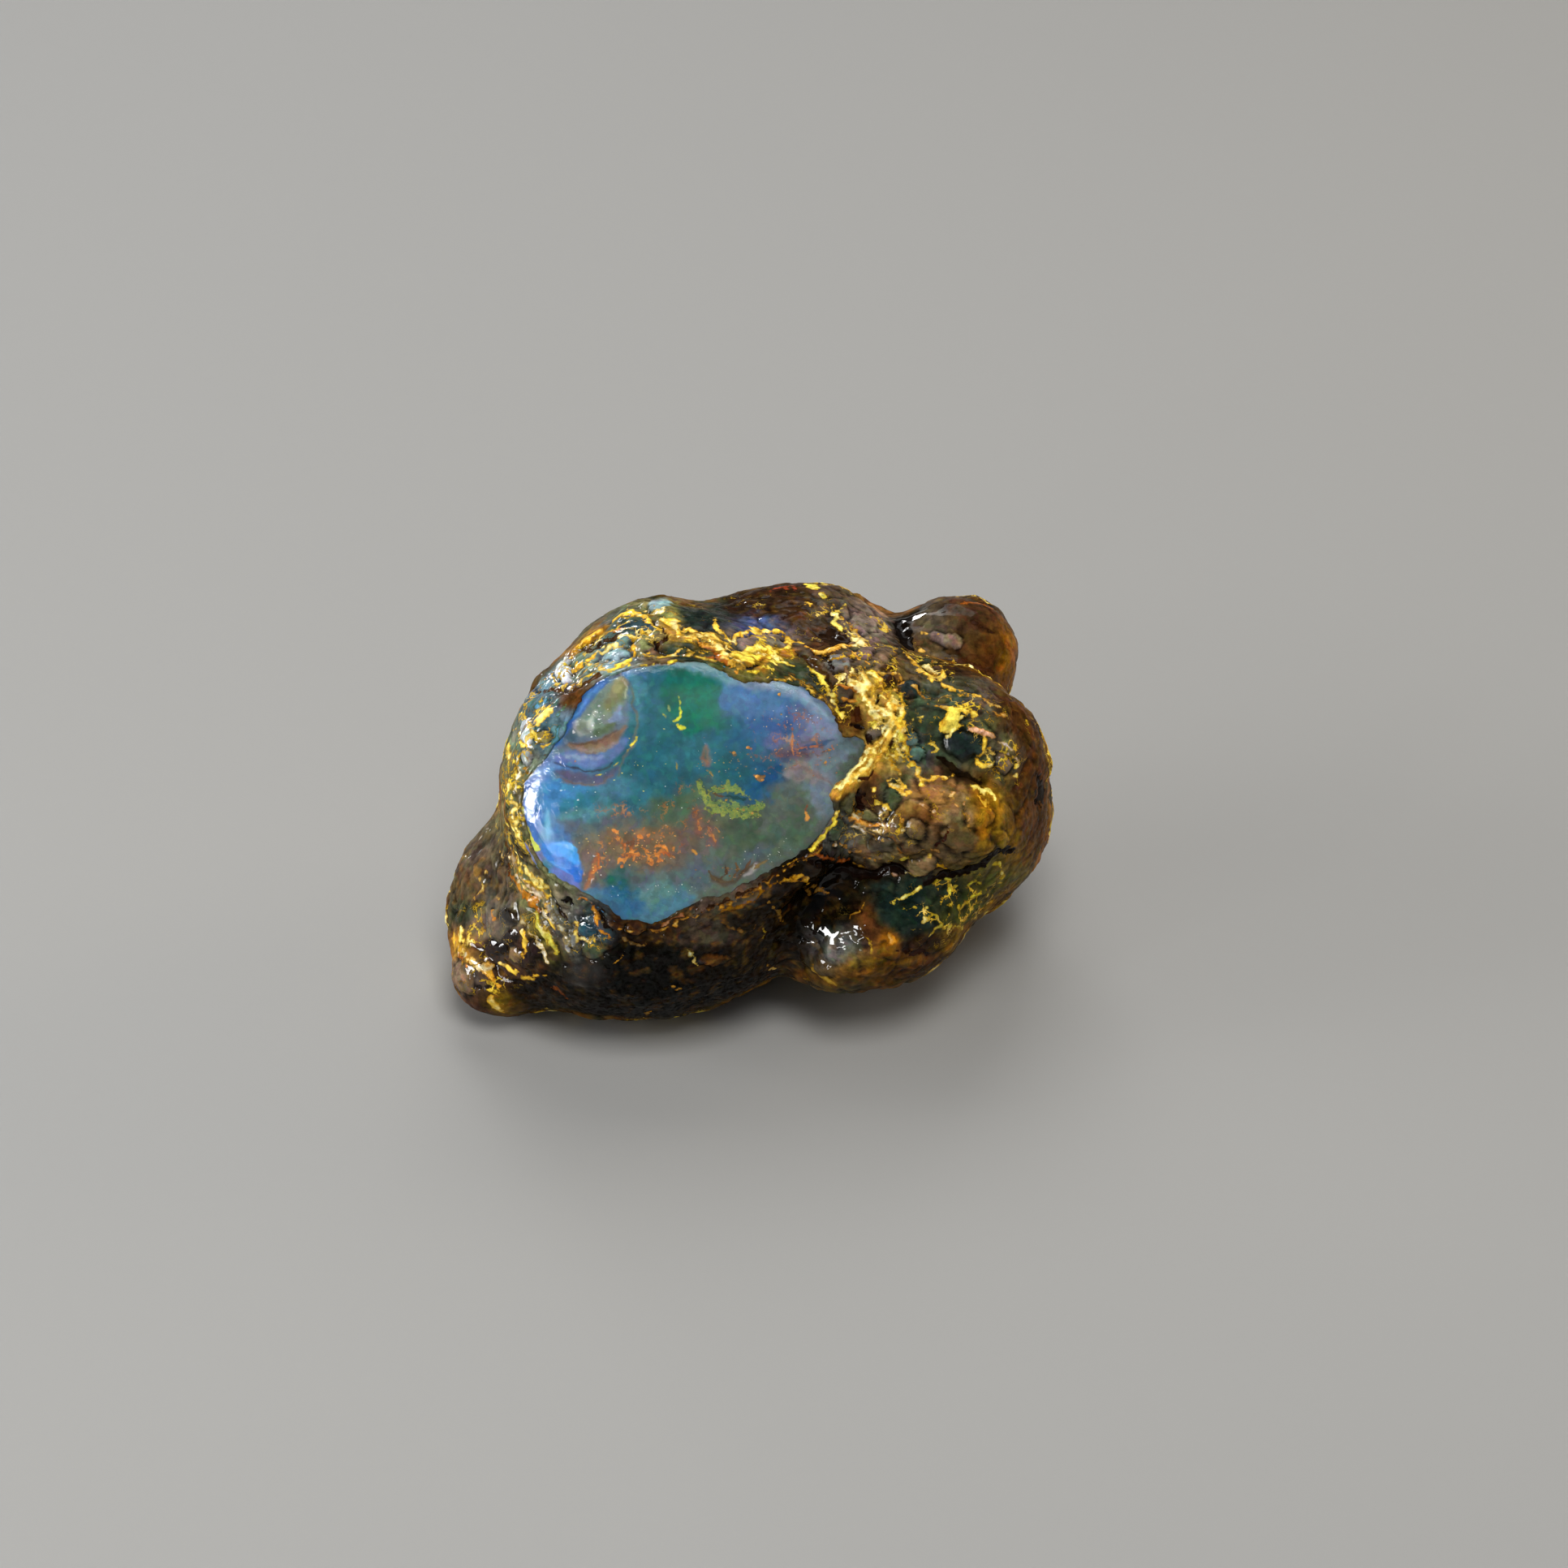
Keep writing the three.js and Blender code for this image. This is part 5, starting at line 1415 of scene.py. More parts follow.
@dataclass
class Drawing:
    """Clouds of colour with lines over them, drawn on the chart.

    Attributes:
        clouds: The soft ground colours.
        shapes: Soft-edged shapes over the clouds.
        marks: Crisp lines over both.
        floor: How strongly plain brown counts where no cloud reaches.
    """

    clouds: tuple[Cloud, ...]
    shapes: tuple[Line, ...] = ()
    marks: tuple[Line, ...] = ()
    floor: float = 1e-4

    def ground(self, flat: np.ndarray, firm: np.ndarray) -> np.ndarray:
        """Blends the clouds' colours by how strongly each counts, and lays the soft shapes over them.

        Args:
            flat: Places on the chart, waved as the clouds are.
            firm: The same places, waved as the shapes are.

        Returns:
            The ground's colour at each place.
        """
        total = np.full(len(flat), self.floor)
        colour = np.outer(total, linear(PLAIN_GROUND))
        for cloud in self.clouds:
            share = cloud.share(flat)
            total += share
            colour += np.outer(share, linear(cloud.colour))
        colour /= total[:, None]
        for line in self.shapes:
            share = ramp(-line.outside(firm), -line.blur / 2, line.blur / 2)[:, None]
            colour = colour * (1 - share) + linear(line.colour) * share
        return colour

    def threads(self, flat: np.ndarray) -> tuple[np.ndarray, np.ndarray, np.ndarray]:
        """Draws the crisp lines.

        Args:
            flat: Places on the chart.

        Returns:
            How far each place is outside its nearest line, that line's colour, and how far the lines lift it.
        """
        gap, lift = np.full(len(flat), REACH), np.zeros(len(flat))
        tint = np.tile(linear(PLAIN_THREAD), (len(flat), 1))
        for line in self.marks:
            outside = line.outside(flat)
            nearer = outside < gap
            gap[nearer] = outside[nearer]
            tint[nearer] = linear(line.colour)
            lift += line.lift * ramp(-outside, -0.15, float(line.half.max()))
        return gap, tint, lift


@dataclass
class Skin:
    """The nodule's smooth outer skin, from which the crust, the clear window and its heart are shaped.

    Attributes:
        cuts: How many cuts divide each edge of the frame's solid.
        rounds: How many times the divided solid is smoothed.
        bm: The skin's mesh, once it is built.
    """

    cuts: int = 2
    rounds: int = 14
    bm: bmesh.types.BMesh = field(init=False)

    def build(self, node: bpy.types.Object) -> None:
        """Merges the frame's solid, divides it finely and smooths its facets away; its foot stays flat."""
        bm = bmesh.new()
        bm.from_mesh(node.data)
        bmesh.ops.scale(bm, vec=(1 / MM,) * 3, verts=bm.verts)
        bmesh.ops.remove_doubles(bm, verts=bm.verts, dist=0.002)
        bmesh.ops.subdivide_edges(bm, edges=bm.edges, cuts=self.cuts, use_grid_fill=True)
        bmesh.ops.triangulate(bm, faces=bm.faces)
        before = places_of(bm)
        after = averaged(bm, before, self.rounds)
        after += averaged(bm, before - after, self.rounds // 2)
        after[:, 2] = np.where(before[:, 2] < 0.01, 0, np.maximum(after[:, 2], 0))
        move_to(bm, after)
        self.bm = bm

    def front(self, bm: bmesh.types.BMesh) -> tuple[np.ndarray, np.ndarray, np.ndarray]:
        """Where a mesh's vertices are seen from the front.

        Args:
            bm: A mesh cut from the skin, before it is shaped.

        Returns:
            Their places on the chart, how squarely they face it, and how far outside the window they are.
        """
        places = places_of(bm)
        flat = CHART.flat(places)
        facing = (normals_of(bm) * unit(CHART.eye_place() - places)).sum(1)
        gap = np.full(len(flat), FAR)
        seen = facing > 0
        gap[seen] = outline_distance(flat[seen], WINDOW)
        return flat, facing, gap

    def patch(self, beyond: float) -> bmesh.types.BMesh:
        """A copy of the skin under the window and a little beyond its outline, as an open sheet."""
        bm = self.bm.copy()
        _, _, gap = self.front(bm)
        outside = [v for v, g in zip(bm.verts, gap) if g > beyond]
        bmesh.ops.delete(bm, geom=outside, context="VERTS")
        return bm

    def refine(self, bm: bmesh.types.BMesh, wanted: np.ndarray) -> None:
        """Halves every edge between two wanted vertices."""
        keep = wanted.tolist()
        bm.verts.index_update()
        edges = [e for e in bm.edges if keep[e.verts[0].index] and keep[e.verts[1].index]]
        bmesh.ops.subdivide_edges(bm, edges=edges, cuts=1, use_grid_fill=True)
        bmesh.ops.triangulate(bm, faces=[f for f in bm.faces if len(f.verts) > 3])


def thicken(bm: bmesh.types.BMesh, depth: float) -> set[bmesh.types.BMFace]:
    """Turns an open sheet into a closed slab by giving it a second side below it.

    Args:
        bm: The sheet.
        depth: How far below it the second side lies.

    Returns:
        The faces that were added: the second side and the wall round it.
    """
    bm.normal_update()
    inward = bm.verts.layers.float_vector.new("inward")
    for v in bm.verts:
        v[inward] = v.normal * -depth
    sheet = set(bm.faces)
    made = bmesh.ops.extrude_face_region(bm, geom=bm.faces[:], use_keep_orig=True)["geom"]
    for v in made:
        if isinstance(v, bmesh.types.BMVert):
            v.co += v[inward]
    bmesh.ops.recalc_face_normals(bm, faces=bm.faces)
    return set(bm.faces) - sheet


@dataclass
class Face:
    """The crust's vertices, with the noise that bends and frays what is drawn on them.

    Attributes:
        places: Where they are, in millimetres.
        flat: Where they are on the chart.
        front: How much they belong to the side that the chart shows, from 0 to 1.
        warp: Slow noise in three directions.
        fine: Fast noise in three directions.
        seen: Where on the chart the drawing is looked up for them.
    """

    places: np.ndarray
    flat: np.ndarray
    front: np.ndarray
    warp: np.ndarray = field(init=False)
    fine: np.ndarray = field(init=False)
    seen: np.ndarray = field(init=False)

    def __post_init__(self) -> None:
        """Works out the noise, and where it moves the drawing."""
        self.warp = np.stack([rough(self.places, 2.6, seed) for seed in (1, 2, 3)], 1)
        kinds = ((0.8, 7), (0.8, 8), (0.45, 15))
        self.fine = np.stack([rough(self.places, size, seed) for size, seed in kinds], 1)
        self.seen = self.flat + 0.28 * self.warp[:, :2] + 0.16 * self.fine[:, :2]


@dataclass
class Crust:
    """The rough outer crust, with the basin that the clear window lies in.

    Attributes:
        skin: The nodule's smooth skin.
        basin: How deep the basin under the window is.
        wall: How wide the basin's steep wall is.
        lip: How far the crust dips towards the window's edge.
        grain: The widths of the large and the small grains.
        swell: How far the large and the small grains stand out.
    """

    skin: Skin
    basin: float = 3.0
    wall: float = 0.45
    lip: float = 0.2
    grain: Spot = (3.3, 1.45)
    swell: Spot = (0.34, 0.12)

    def build(self) -> bpy.types.Object:
        """Builds the crust."""
        bm = self.skin.bm.copy()
        _, facing, gap = self.skin.front(bm)
        self.skin.refine(bm, (facing > -0.03) & (gap > -0.7))
        _, facing, gap = self.skin.front(bm)
        self.skin.refine(bm, (np.abs(gap - 0.15) < 0.55) & (facing > 0))
        smooth = averaged(bm, places_of(bm), 2)
        smooth[:, 2] = np.where(places_of(bm)[:, 2] < 0.01, 0, smooth[:, 2])
        move_to(bm, smooth)
        places, normals = places_of(bm), normals_of(bm)
        flat, facing, gap = self.skin.front(bm)
        colours, lift = self.draw(bm, places, flat, facing, gap)
        edge = gap + 0.24 * rough(places, 1.5, 17) + 0.12 * rough(places, 0.5, 18)
        depth = -self.basin * ramp(-edge, 0.0, self.wall)
        rim = -self.lip * (1 - ramp(edge, 0.0, 1.3))
        lift = np.maximum(lift, -0.6 * ramp(gap, 0.0, 1.2)) * ramp(edge, 0.0, 0.3)
        shaped = places + normals * (lift + rim + depth)[:, None]
        shaped[:, 2] = np.where(places[:, 2] < 0.01, 0, np.maximum(shaped[:, 2], 0.02))
        move_to(bm, shaped)
        piece = finish_piece(bm, "crust", CRUST_FINISH.material())
        for layer, values in colours.items():
            store(piece, layer, values)
        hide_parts(NODE)
        return piece

    def draw(self, bm: bmesh.types.BMesh, places: np.ndarray, flat: np.ndarray, facing: np.ndarray,
             gap: np.ndarray) -> tuple[dict[Layer, np.ndarray], np.ndarray]:
        """Works out the crust's colours and its relief.

        Args:
            bm: The crust's mesh, still smooth.
            places: Its vertices.
            flat: Where they are on the chart.
            facing: How squarely they face it.
            gap: How far outside the window they are.

        Returns:
            The values for its finish, and how far each vertex is lifted.
        """
        face = Face(places, flat, ramp(facing, -0.05, 0.25))
        front, warp, fine, seen = face.front, face.warp, face.fine, face.seen
        lift, kind, sort = self.relief(face)
        marks = SEAM + SHOULDER + TOP + FORK + BROW + CHEEK + HEEL + FRINGE + NOSE
        drawing = Drawing(CRUST_CLOUDS, CRUST_SHAPES, marks)
        near, tint, raised = drawing.threads(seen)
        near = near + 0.1 * fine[:, 2] + 0.08 * warp[:, 2] + (1 - front) * 2
        raised = raised * (0.65 + 0.35 * fine[:, 0]) * front
        waved = seen + 0.4 * warp[:, 1:] + 0.2 * fine[:, 1:]
        ground, lift = self.pebbled(face, drawing.ground(waved, waved), lift)
        ground = self.crumbled(face, ground)
        hidden = shades(rough(places, 6.5, 9) * 0.5 + 0.5, HIDDEN_COLOURS) * (0.6 + 0.8 * kind[:, None])
        ground = hidden + (ground - hidden) * front[:, None]
        ground = ground * (0.75 + 0.5 * sort[:, None])

        vein, zone = self.veined(face)
        gold = shades(rough(places, 2.2, 13) * 0.5 + 0.5, GOLD_COLOURS)
        tint = np.where((near < vein)[:, None], self.gilded(face, tint), gold)
        raised = raised + 0.12 * ramp(-vein, -0.2, 0.1) * (1 - 0.5 * front)
        lift = lift + raised
        # Painted shade: hollows are darkened, except along the window's edge and inside it.
        hollow = lift - averaged(bm, lift, 8)
        shade = np.maximum(0.12 + 0.95 * ramp(hollow, -0.13, 0.05), 0.9 * ramp(-gap, -0.15, 0.0))
        web = most(CRUST_WEBS, seen) * front + 0.11 * zone * (1 - front)
        ground = ground**1.12 * (shade * (1 - 2.2 * web))[:, None]
        # Painted shade on the threads and the gold that lie in hollows.
        tint = tint * (0.65 + 0.4 * ramp(hollow, -0.2, 0.0))[:, None]
        gold = gold * (0.35 + 0.7 * ramp(hollow, -0.16, 0.02))[:, None]
        mark = np.minimum(near, vein) + 0.4 * ramp(-gap, 0.3, 0.6)
        return {Layer.GROUND: ground, Layer.MARK: mark, Layer.MARK_TINT: tint, Layer.WEB: web,
                Layer.WEB_TINT: gold, Layer.WET: most(WET, seen) * front}, lift

    def relief(self, face: Face) -> tuple[np.ndarray, np.ndarray, np.ndarray]:
        """Raises grains and wrinkles all over the crust.

        Args:
            face: The crust's vertices.

        Returns:
            How far each is lifted, and a number from 0 to 1 for the large and for the small grain it is in.
        """
        places, warp = face.places, face.warp
        big, kind = cells(places + 0.8 * warp, self.grain[0])
        small, sort = cells(places + 0.5 * warp, self.grain[1])
        wrinkle = crinkles(places + 0.5 * warp, 3.4)
        calm = 0.5 + 0.5 * ramp(rough(places, 9, 4), -0.4, 0.4)
        grainy = ramp(rough(places, 5, 14), -0.1, 0.5)
        lift = self.swell[0] * (1 - np.exp(-big / 0.6)) + self.swell[1] * grainy * (1 - np.exp(-small / 0.3))
        lift = calm * (lift - 0.35 + 0.3 * rough(places, 4.2, 5) + 0.22 * wrinkle)
        return lift * (1 - most(SMOOTH, face.flat) * face.front), kind, sort

    def pebbled(self, face: Face, ground: np.ndarray, lift: np.ndarray) -> tuple[np.ndarray, np.ndarray]:
        """Sets the drawn pebbles into the crust.

        Args:
            face: The crust's vertices.
            ground: Their colours.
            lift: How far they are lifted.

        Returns:
            The colours and the lift with the pebbles and their grooves in them.
        """
        for pebble in PEBBLES:
            away = lengthwise(face.seen, pebble.at, pebble.half, pebble.turn)
            away = away * (1 + 0.16 * face.fine[:, 0] + 0.1 * face.warp[:, 2])
            inside = ramp(-away, -1.1, -0.85) * face.front
            dome = 0.5 * pebble.height * np.sqrt(np.clip(1 - away**2, 0, 1))
            groove = -0.1 * np.exp(-(((away - 1.12) / 0.16) ** 2)) * face.front
            lift = lift * (1 - 0.75 * inside) + dome * inside + groove
            ground = ground + (linear(pebble.colour) - ground) * inside[:, None]
        return ground, lift

    def crumbled(self, face: Face, ground: np.ndarray) -> np.ndarray:
        """Lays crumbs of many browns over the drawn ground, darker where it is dark."""
        bent = face.places + 0.3 * face.warp
        crumbs = shades(0.5 + 0.5 * rough(bent, 1.0, 20) + 0.2 * face.fine[:, 0], CRUMB_COLOURS)
        light = ground.mean(1, keepdims=True)
        crumbs = crumbs * (0.2 + 0.8 * light / (light + 0.03))
        share = ramp(rough(bent, 0.9, 23) + 0.4 * face.warp[:, 1], 0.1, 0.4) * most(CRUMBS, face.seen)
        return ground + (crumbs - ground) * share[:, None]

    def veined(self, face: Face) -> tuple[np.ndarray, np.ndarray]:
        """Runs veins through the crust, mostly where the chart can't show it.

        Args:
            face: The crust's vertices.

        Returns:
            How far each is outside its nearest vein, and how rich in veins its zone is, from 0 to 1.
        """
        places, front = face.places, face.front
        wander = np.abs(rough(places, 3.6, 10)) * 1.2
        thin = np.abs(rough(places + face.warp * 0.5, 1.9, 11)) * 0.8
        zone = ramp(rough(places, 8, 12), -0.15, 0.35)
        vein = np.minimum(wander - 0.16 * zone * (1.6 - front), thin - 0.1 * zone)
        return vein + 0.5 * (1 - zone) + 0.3 * front, zone

    def gilded(self, face: Face, tint: np.ndarray) -> np.ndarray:
        """Turns parts of the bright threads to deep amber and to pale gold."""
        bright = ramp(tint.mean(1), 0.12, 0.3)
        amber = 0.45 * bright * ramp(rough(face.places, 1.3, 16), 0.1, 0.8)
        tint = tint + (linear("#b49030") - tint) * amber[:, None]
        pale = 0.6 * bright * ramp(rough(face.places, 1.1, 19), 0.3, 1.0)
        return tint + (linear("#fff6b4") - tint) * pale[:, None]


@dataclass
class ClearWindow:
    """The ground and polished window of clear amber that fills the crust's basin.

    Attributes:
        skin: The nodule's smooth skin.
        beyond: How far it reaches under the crust, past its own outline.
        dive: How far it dips there.
        bevel: How far its polished edge falls away, and over what width.
        depth: How thick it is.
    """

    skin: Skin
    beyond: float = 1.3
    dive: float = 0.5
    bevel: Spot = (0.3, 1.5)
    depth: float = 2.0

    def build(self) -> bpy.types.Object:
        """Builds the window."""
        bm = self.skin.patch(self.beyond)
        self.skin.refine(bm, np.ones(len(bm.verts), bool))
        places = places_of(bm)
        rim = np.array([v.is_boundary for v in bm.verts])
        smooth = np.where(rim[:, None], places, averaged(bm, places, 10))
        move_to(bm, smooth)
        _, _, gap = self.skin.front(bm)
        wave = 0.03 * rough(smooth, 5.5, 21) + 0.008 * rough(smooth, 1.6, 22)
        fall = self.bevel[0] * ramp(gap, -self.bevel[1], 0.3) + self.dive * ramp(gap, 0.05, 0.9)
        move_to(bm, smooth + normals_of(bm) * (wave - fall)[:, None])
        thicken(bm, self.depth)
        return finish_piece(bm, "clear_window", ClearAmberFinish().material())


@dataclass
class MilkyHeart:
    """The clouded, many-coloured amber that shows under the clear window.

    Attributes:
        skin: The nodule's smooth skin.
        beyond: How far it reaches under the crust, past the window's outline.
        depth: How far under the window's face it lies.
        thick: How thick it is.
        cuts: How many cuts divide each edge of its upper side.
        bend: The share of its depth by which the window's bending of light moves it as it is seen.
        glow: How much brighter its ground is than it was drawn, as light gathers in it.
    """

    skin: Skin
    beyond: float = 1.0
    depth: float = 1.1
    thick: float = 1.4
    cuts: int = 3
    bend: float = 0.4
    glow: float = 1.2

    def build(self) -> bpy.types.Object:
        """Builds the heart."""
        bm, places = self.shape()
        flat = CHART.flat(places + normals_of(bm) * (self.bend * self.depth))
        values = self.draw(places, flat)
        piece = finish_piece(bm, "milky_heart", HEART_FINISH.material())
        for layer, kept in values.items():
            store(piece, layer, kept)
        return piece

    def shape(self) -> tuple[bmesh.types.BMesh, np.ndarray]:
        """Shapes the heart as a slab under the window, with a finely divided upper side.

        Returns:
            Its mesh, and its vertices' places.
        """
        bm = self.skin.patch(self.beyond)
        places, normals = places_of(bm), normals_of(bm)
        _, _, gap = self.skin.front(bm)
        sunk = self.depth * (0.45 + 0.55 * ramp(-gap, -0.3, 2.6)) + 0.1 * rough(places, 6, 31)
        move_to(bm, places - normals * sunk[:, None])
        below = thicken(bm, self.thick)
        upper = [f for f in bm.faces if f not in below]
        edges = list({e for f in upper for e in f.edges})
        bmesh.ops.subdivide_edges(bm, edges=edges, cuts=self.cuts, use_grid_fill=True)
        bmesh.ops.triangulate(bm, faces=[f for f in bm.faces if len(f.verts) > 3])
        places = averaged(bm, places_of(bm), 6)
        move_to(bm, places)
        return bm, places

    def draw(self, places: np.ndarray, flat: np.ndarray) -> dict[Layer, np.ndarray]:
        """Works out the heart's colours.

        Args:
            places: Its vertices.
            flat: Where they are seen on the chart, through the window.

        Returns:
            The values for its finish.
        """
        soft = np.stack([rough(places, 1.8, seed) for seed in (32, 33)], 1)
        fine = np.stack([rough(places, 0.55, seed) for seed in (34, 35)], 1)
        seen = flat + 0.55 * soft + 0.36 * fine
        drawing = Drawing(HEART_CLOUDS, HEART_SHAPES, HEART_MARKS)
        near, tint, _ = drawing.threads(flat + 0.08 * soft + 0.05 * fine)
        frayed = 0.22 * rough(places, 0.7, 36) + 0.24 * rough(places, 0.35, 37)
        mosaic = 0.5 + 0.4 * rough(places, 0.45, 42)
        for lines, palette, crumbly in ((FIRE, FIRE_COLOURS, 2.7), (FLAKE, GREENS, 1.0)):
            flake, drawn, _ = Drawing((), marks=lines).threads(flat + 0.1 * soft + 0.2 * fine)
            flake = flake + crumbly * frayed + 0.12 * (crumbly - 1)
            drawn = 0.4 * drawn + 0.6 * shades(mosaic, palette)
            over = flake < near
            near, tint = np.where(over, flake, near), np.where(over[:, None], drawn, tint)
        slit, slit_tint, _ = Drawing((), marks=SLIT).threads(flat + 0.1 * fine)
        over = slit < 0.1
        near, tint = np.where(over, slit, near), np.where(over[:, None], slit_tint, tint)

        # Grey dust and blue haze dull the ground where its colour is weak.
        ground = drawing.ground(seen, flat + 0.2 * soft + 0.12 * fine)
        dull = 1 - 0.9 * ramp(np.ptp(ground, axis=1), 0.05, 0.13)
        dust = (dull * 0.24 * ramp(rough(places, 0.8, 38) + 0.6 * rough(places, 3, 39), 0.25, 1.1))[:, None]
        ground = ground + (linear("#5c5e50") - ground) * dust
        haze = (dull * (0.02 + 0.14 * ramp(rough(places, 2.4, 40), -0.2, 0.9)))[:, None]
        ground = self.glow * (ground + (linear("#6c7c84") - ground) * haze)
        rust = shades(rough(places, 1.6, 41) * 0.5 + 0.5, FIRE_COLOURS)
        burning = ramp(ground[:, 0] - ground[:, 2], 0.0, 0.12)[:, None]
        web_tint = rust * (0.5 + 0.5 * burning) + 0.6 * ground * (1 - burning)
        return {Layer.GROUND: ground, Layer.MARK: near, Layer.MARK_TINT: tint,
                Layer.WEB: most(HEART_WEBS, seen), Layer.WEB_TINT: web_tint}


@dataclass(frozen=True)
class Swarm:
    """Small flecks sealed in the window, the white ones painted glints: their colour, how many, where, and
    their widths.
    """

    colour: str
    count: int
    at: Spot
    half: Spot
    widths: Spot


SWARMS = (
    Swarm("#c08058", 30, (4.6, 4.4), (3.4, 2.6), (0.08, 0.22)),
    Swarm("#e0b468", 22, (3.6, 6.4), (3.6, 3.4), (0.06, 0.18)),
    Swarm("#e09048", 30, (-9.8, -4.4), (3.4, 1.8), (0.1, 0.32)),
    Swarm("#f0b860", 24, (-10.6, -4.4), (4.4, 2), (0.08, 0.22)),
    Swarm("#e8c058", 12, (-14.8, -5.4), (1.4, 2.6), (0.1, 0.26)),
    # These white flecks are painted glints: tiny highlights drawn as white platelets.
    Swarm("#f4f4ea", 30, (2.4, -5.2), (3.4, 1.3), (0.05, 0.13)),
    Swarm("#fffff4", 16, (4.6, 8.6), (2.6, 1.6), (0.05, 0.14)),
    Swarm("#f4f0e0", 16, (-16.4, 0), (2.4, 1.8), (0.05, 0.13)),
    Swarm("#f0f0e0", 20, (-6, -8.6), (3.6, 1.4), (0.05, 0.12)),
    Swarm("#ffffff", 18, (-14.6, 7.8), (1.2, 1.6), (0.06, 0.16)),
    Swarm("#fffff4", 26, (-3, 1), (11, 8), (0.04, 0.12)),
    Swarm("#e0d060", 14, (-10.6, 3.4), (2.6, 3.4), (0.06, 0.2)),
    Swarm("#c8a858", 10, (-2.6, 4), (2.2, 1.8), (0.06, 0.18)),
    Swarm("#94784c", 30, (-2.2, 3.8), (3.2, 2.6), (0.08, 0.26)),
    Swarm("#b87850", 20, (-4, -3.4), (1.4, 1.8), (0.1, 0.3)),
    Swarm("#8a6438", 26, (-2, -7), (2.8, 0.9), (0.1, 0.34)),
    Swarm("#d08858", 20, (6.8, 5), (1.8, 2.4), (0.08, 0.24)),
)
SPECKS = (
    # Single flecks that stand out, the white ones painted glints: their colour, their width and their places.
    ("#f0a848", 0.42, ((2.8, 10.1), (-0.2, 5), (7.7, 4.8), (0.7, 2.2), (1.2, 1.9), (7.3, 3.6), (-1.5, 4.5))),
    ("#f8f8ff", 0.26, ((-18.1, 3.6), (-14.4, 9), (-15.4, 8.2), (-14.4, 7.7), (-15, 7.1), (-16.4, 0),
                       (-18, 0.9), (-14.9, -5.4))),
    ("#ffffff", 0.55, ((-16.9, 6.5),)),
    ("#d8a044", 0.3, ((-2.25, 0.0), (-1.2, -0.85), (-0.6, -1.0), (0.2, -1.3), (-2.6, 1.1))),
)


@dataclass
class SealedFlecks:
    """Platelets sealed in the clear amber, some white ones painted glints, joined in one mesh for each look.

    Attributes:
        skin: The nodule's smooth skin.
        depths: How far under the window's face the loose ones lie.
        flake_depths: How far under it those of the flake lie.
        seed: The seed of their places and turns.
        tree: The skin, for finding where a fleck lies under it.
        random: Where their chance sizes, places and turns come from.
    """

    skin: Skin
    depths: Spot = (0.35, 0.95)
    flake_depths: Spot = (0.55, 0.9)
    seed: int = 7
    tree: BVHTree = field(init=False)
    random: np.random.Generator = field(init=False)

    def build(self) -> list[bpy.types.Object]:
        """Builds the loose flecks and the yellow-green flake."""
        self.tree = BVHTree.FromBMesh(self.skin.bm)
        self.random = np.random.default_rng(self.seed)
        specks = [
            (swarm.colour, spot, self.random.uniform(*swarm.widths))
            for swarm in SWARMS
            for spot in self.random.normal(size=(swarm.count, 2)) * 0.5 * swarm.half + np.array(swarm.at)
        ]
        specks += [(colour, np.array(spot), width) for colour, width, spots in SPECKS for spot in spots]
        shards = [
            (self.random.choice(GREENS), spot + self.random.uniform(-1, 1, 2) * half,
             self.random.uniform(0.07, 0.2))
            for line in FLAKE
            for spot, half in zip(line.path, line.half)
            for _ in range(8)
        ]
        loose = self.join("sealed_flecks_and_glints", specks, self.depths)
        return [loose, self.join("sealed_flake", shards, self.flake_depths)]

    def join(self, name: str, flecks: list[tuple[str, np.ndarray, float]], depths: Spot) -> bpy.types.Object:
        """Makes one mesh of platelets.

        Args:
            name: The piece's name.
            flecks: Each platelet's colour, place on the chart and width.
            depths: The least and the most depth that they lie at.

        Returns:
            The piece.
        """
        bm = bmesh.new()
        tints = []
        gaps = outline_distance(np.array([spot for _, spot, _ in flecks]), WINDOW)
        for (colour, spot, width), gap in zip(flecks, gaps):
            start, towards = CHART.ray(tuple(spot))
            hit, normal, _, _ = self.tree.ray_cast(Vector(start), Vector(towards))
            if hit is None or gap > -0.6:
                continue
            made = bmesh.ops.create_icosphere(bm, subdivisions=1, radius=width / 2)["verts"]
            flat = Vector((1, self.random.uniform(0.5, 0.9), 0.14))
            bmesh.ops.scale(bm, vec=flat, verts=made)
            for v in made:
                v.co *= 1 + self.random.uniform(-0.25, 0.25)
            lean = Vector(normal) + Vector(self.random.normal(size=3) * 0.25)
            turn = lean.to_track_quat("Z", "Y").to_matrix()
            bmesh.ops.rotate(bm, matrix=turn, verts=made)
            bmesh.ops.translate(bm, vec=hit - normal * self.random.uniform(*depths), verts=made)
            tints += [linear(colour) * self.random.uniform(0.75, 1.2)] * len(made)
        piece = finish_piece(bm, name, FLECK_FINISH.material())
        store(piece, Layer.GROUND, np.array(tints))
        store(piece, Layer.MARK, np.ones(len(tints)))
        store(piece, Layer.MARK_TINT, np.array(tints))
        return piece


# --- The studio ---


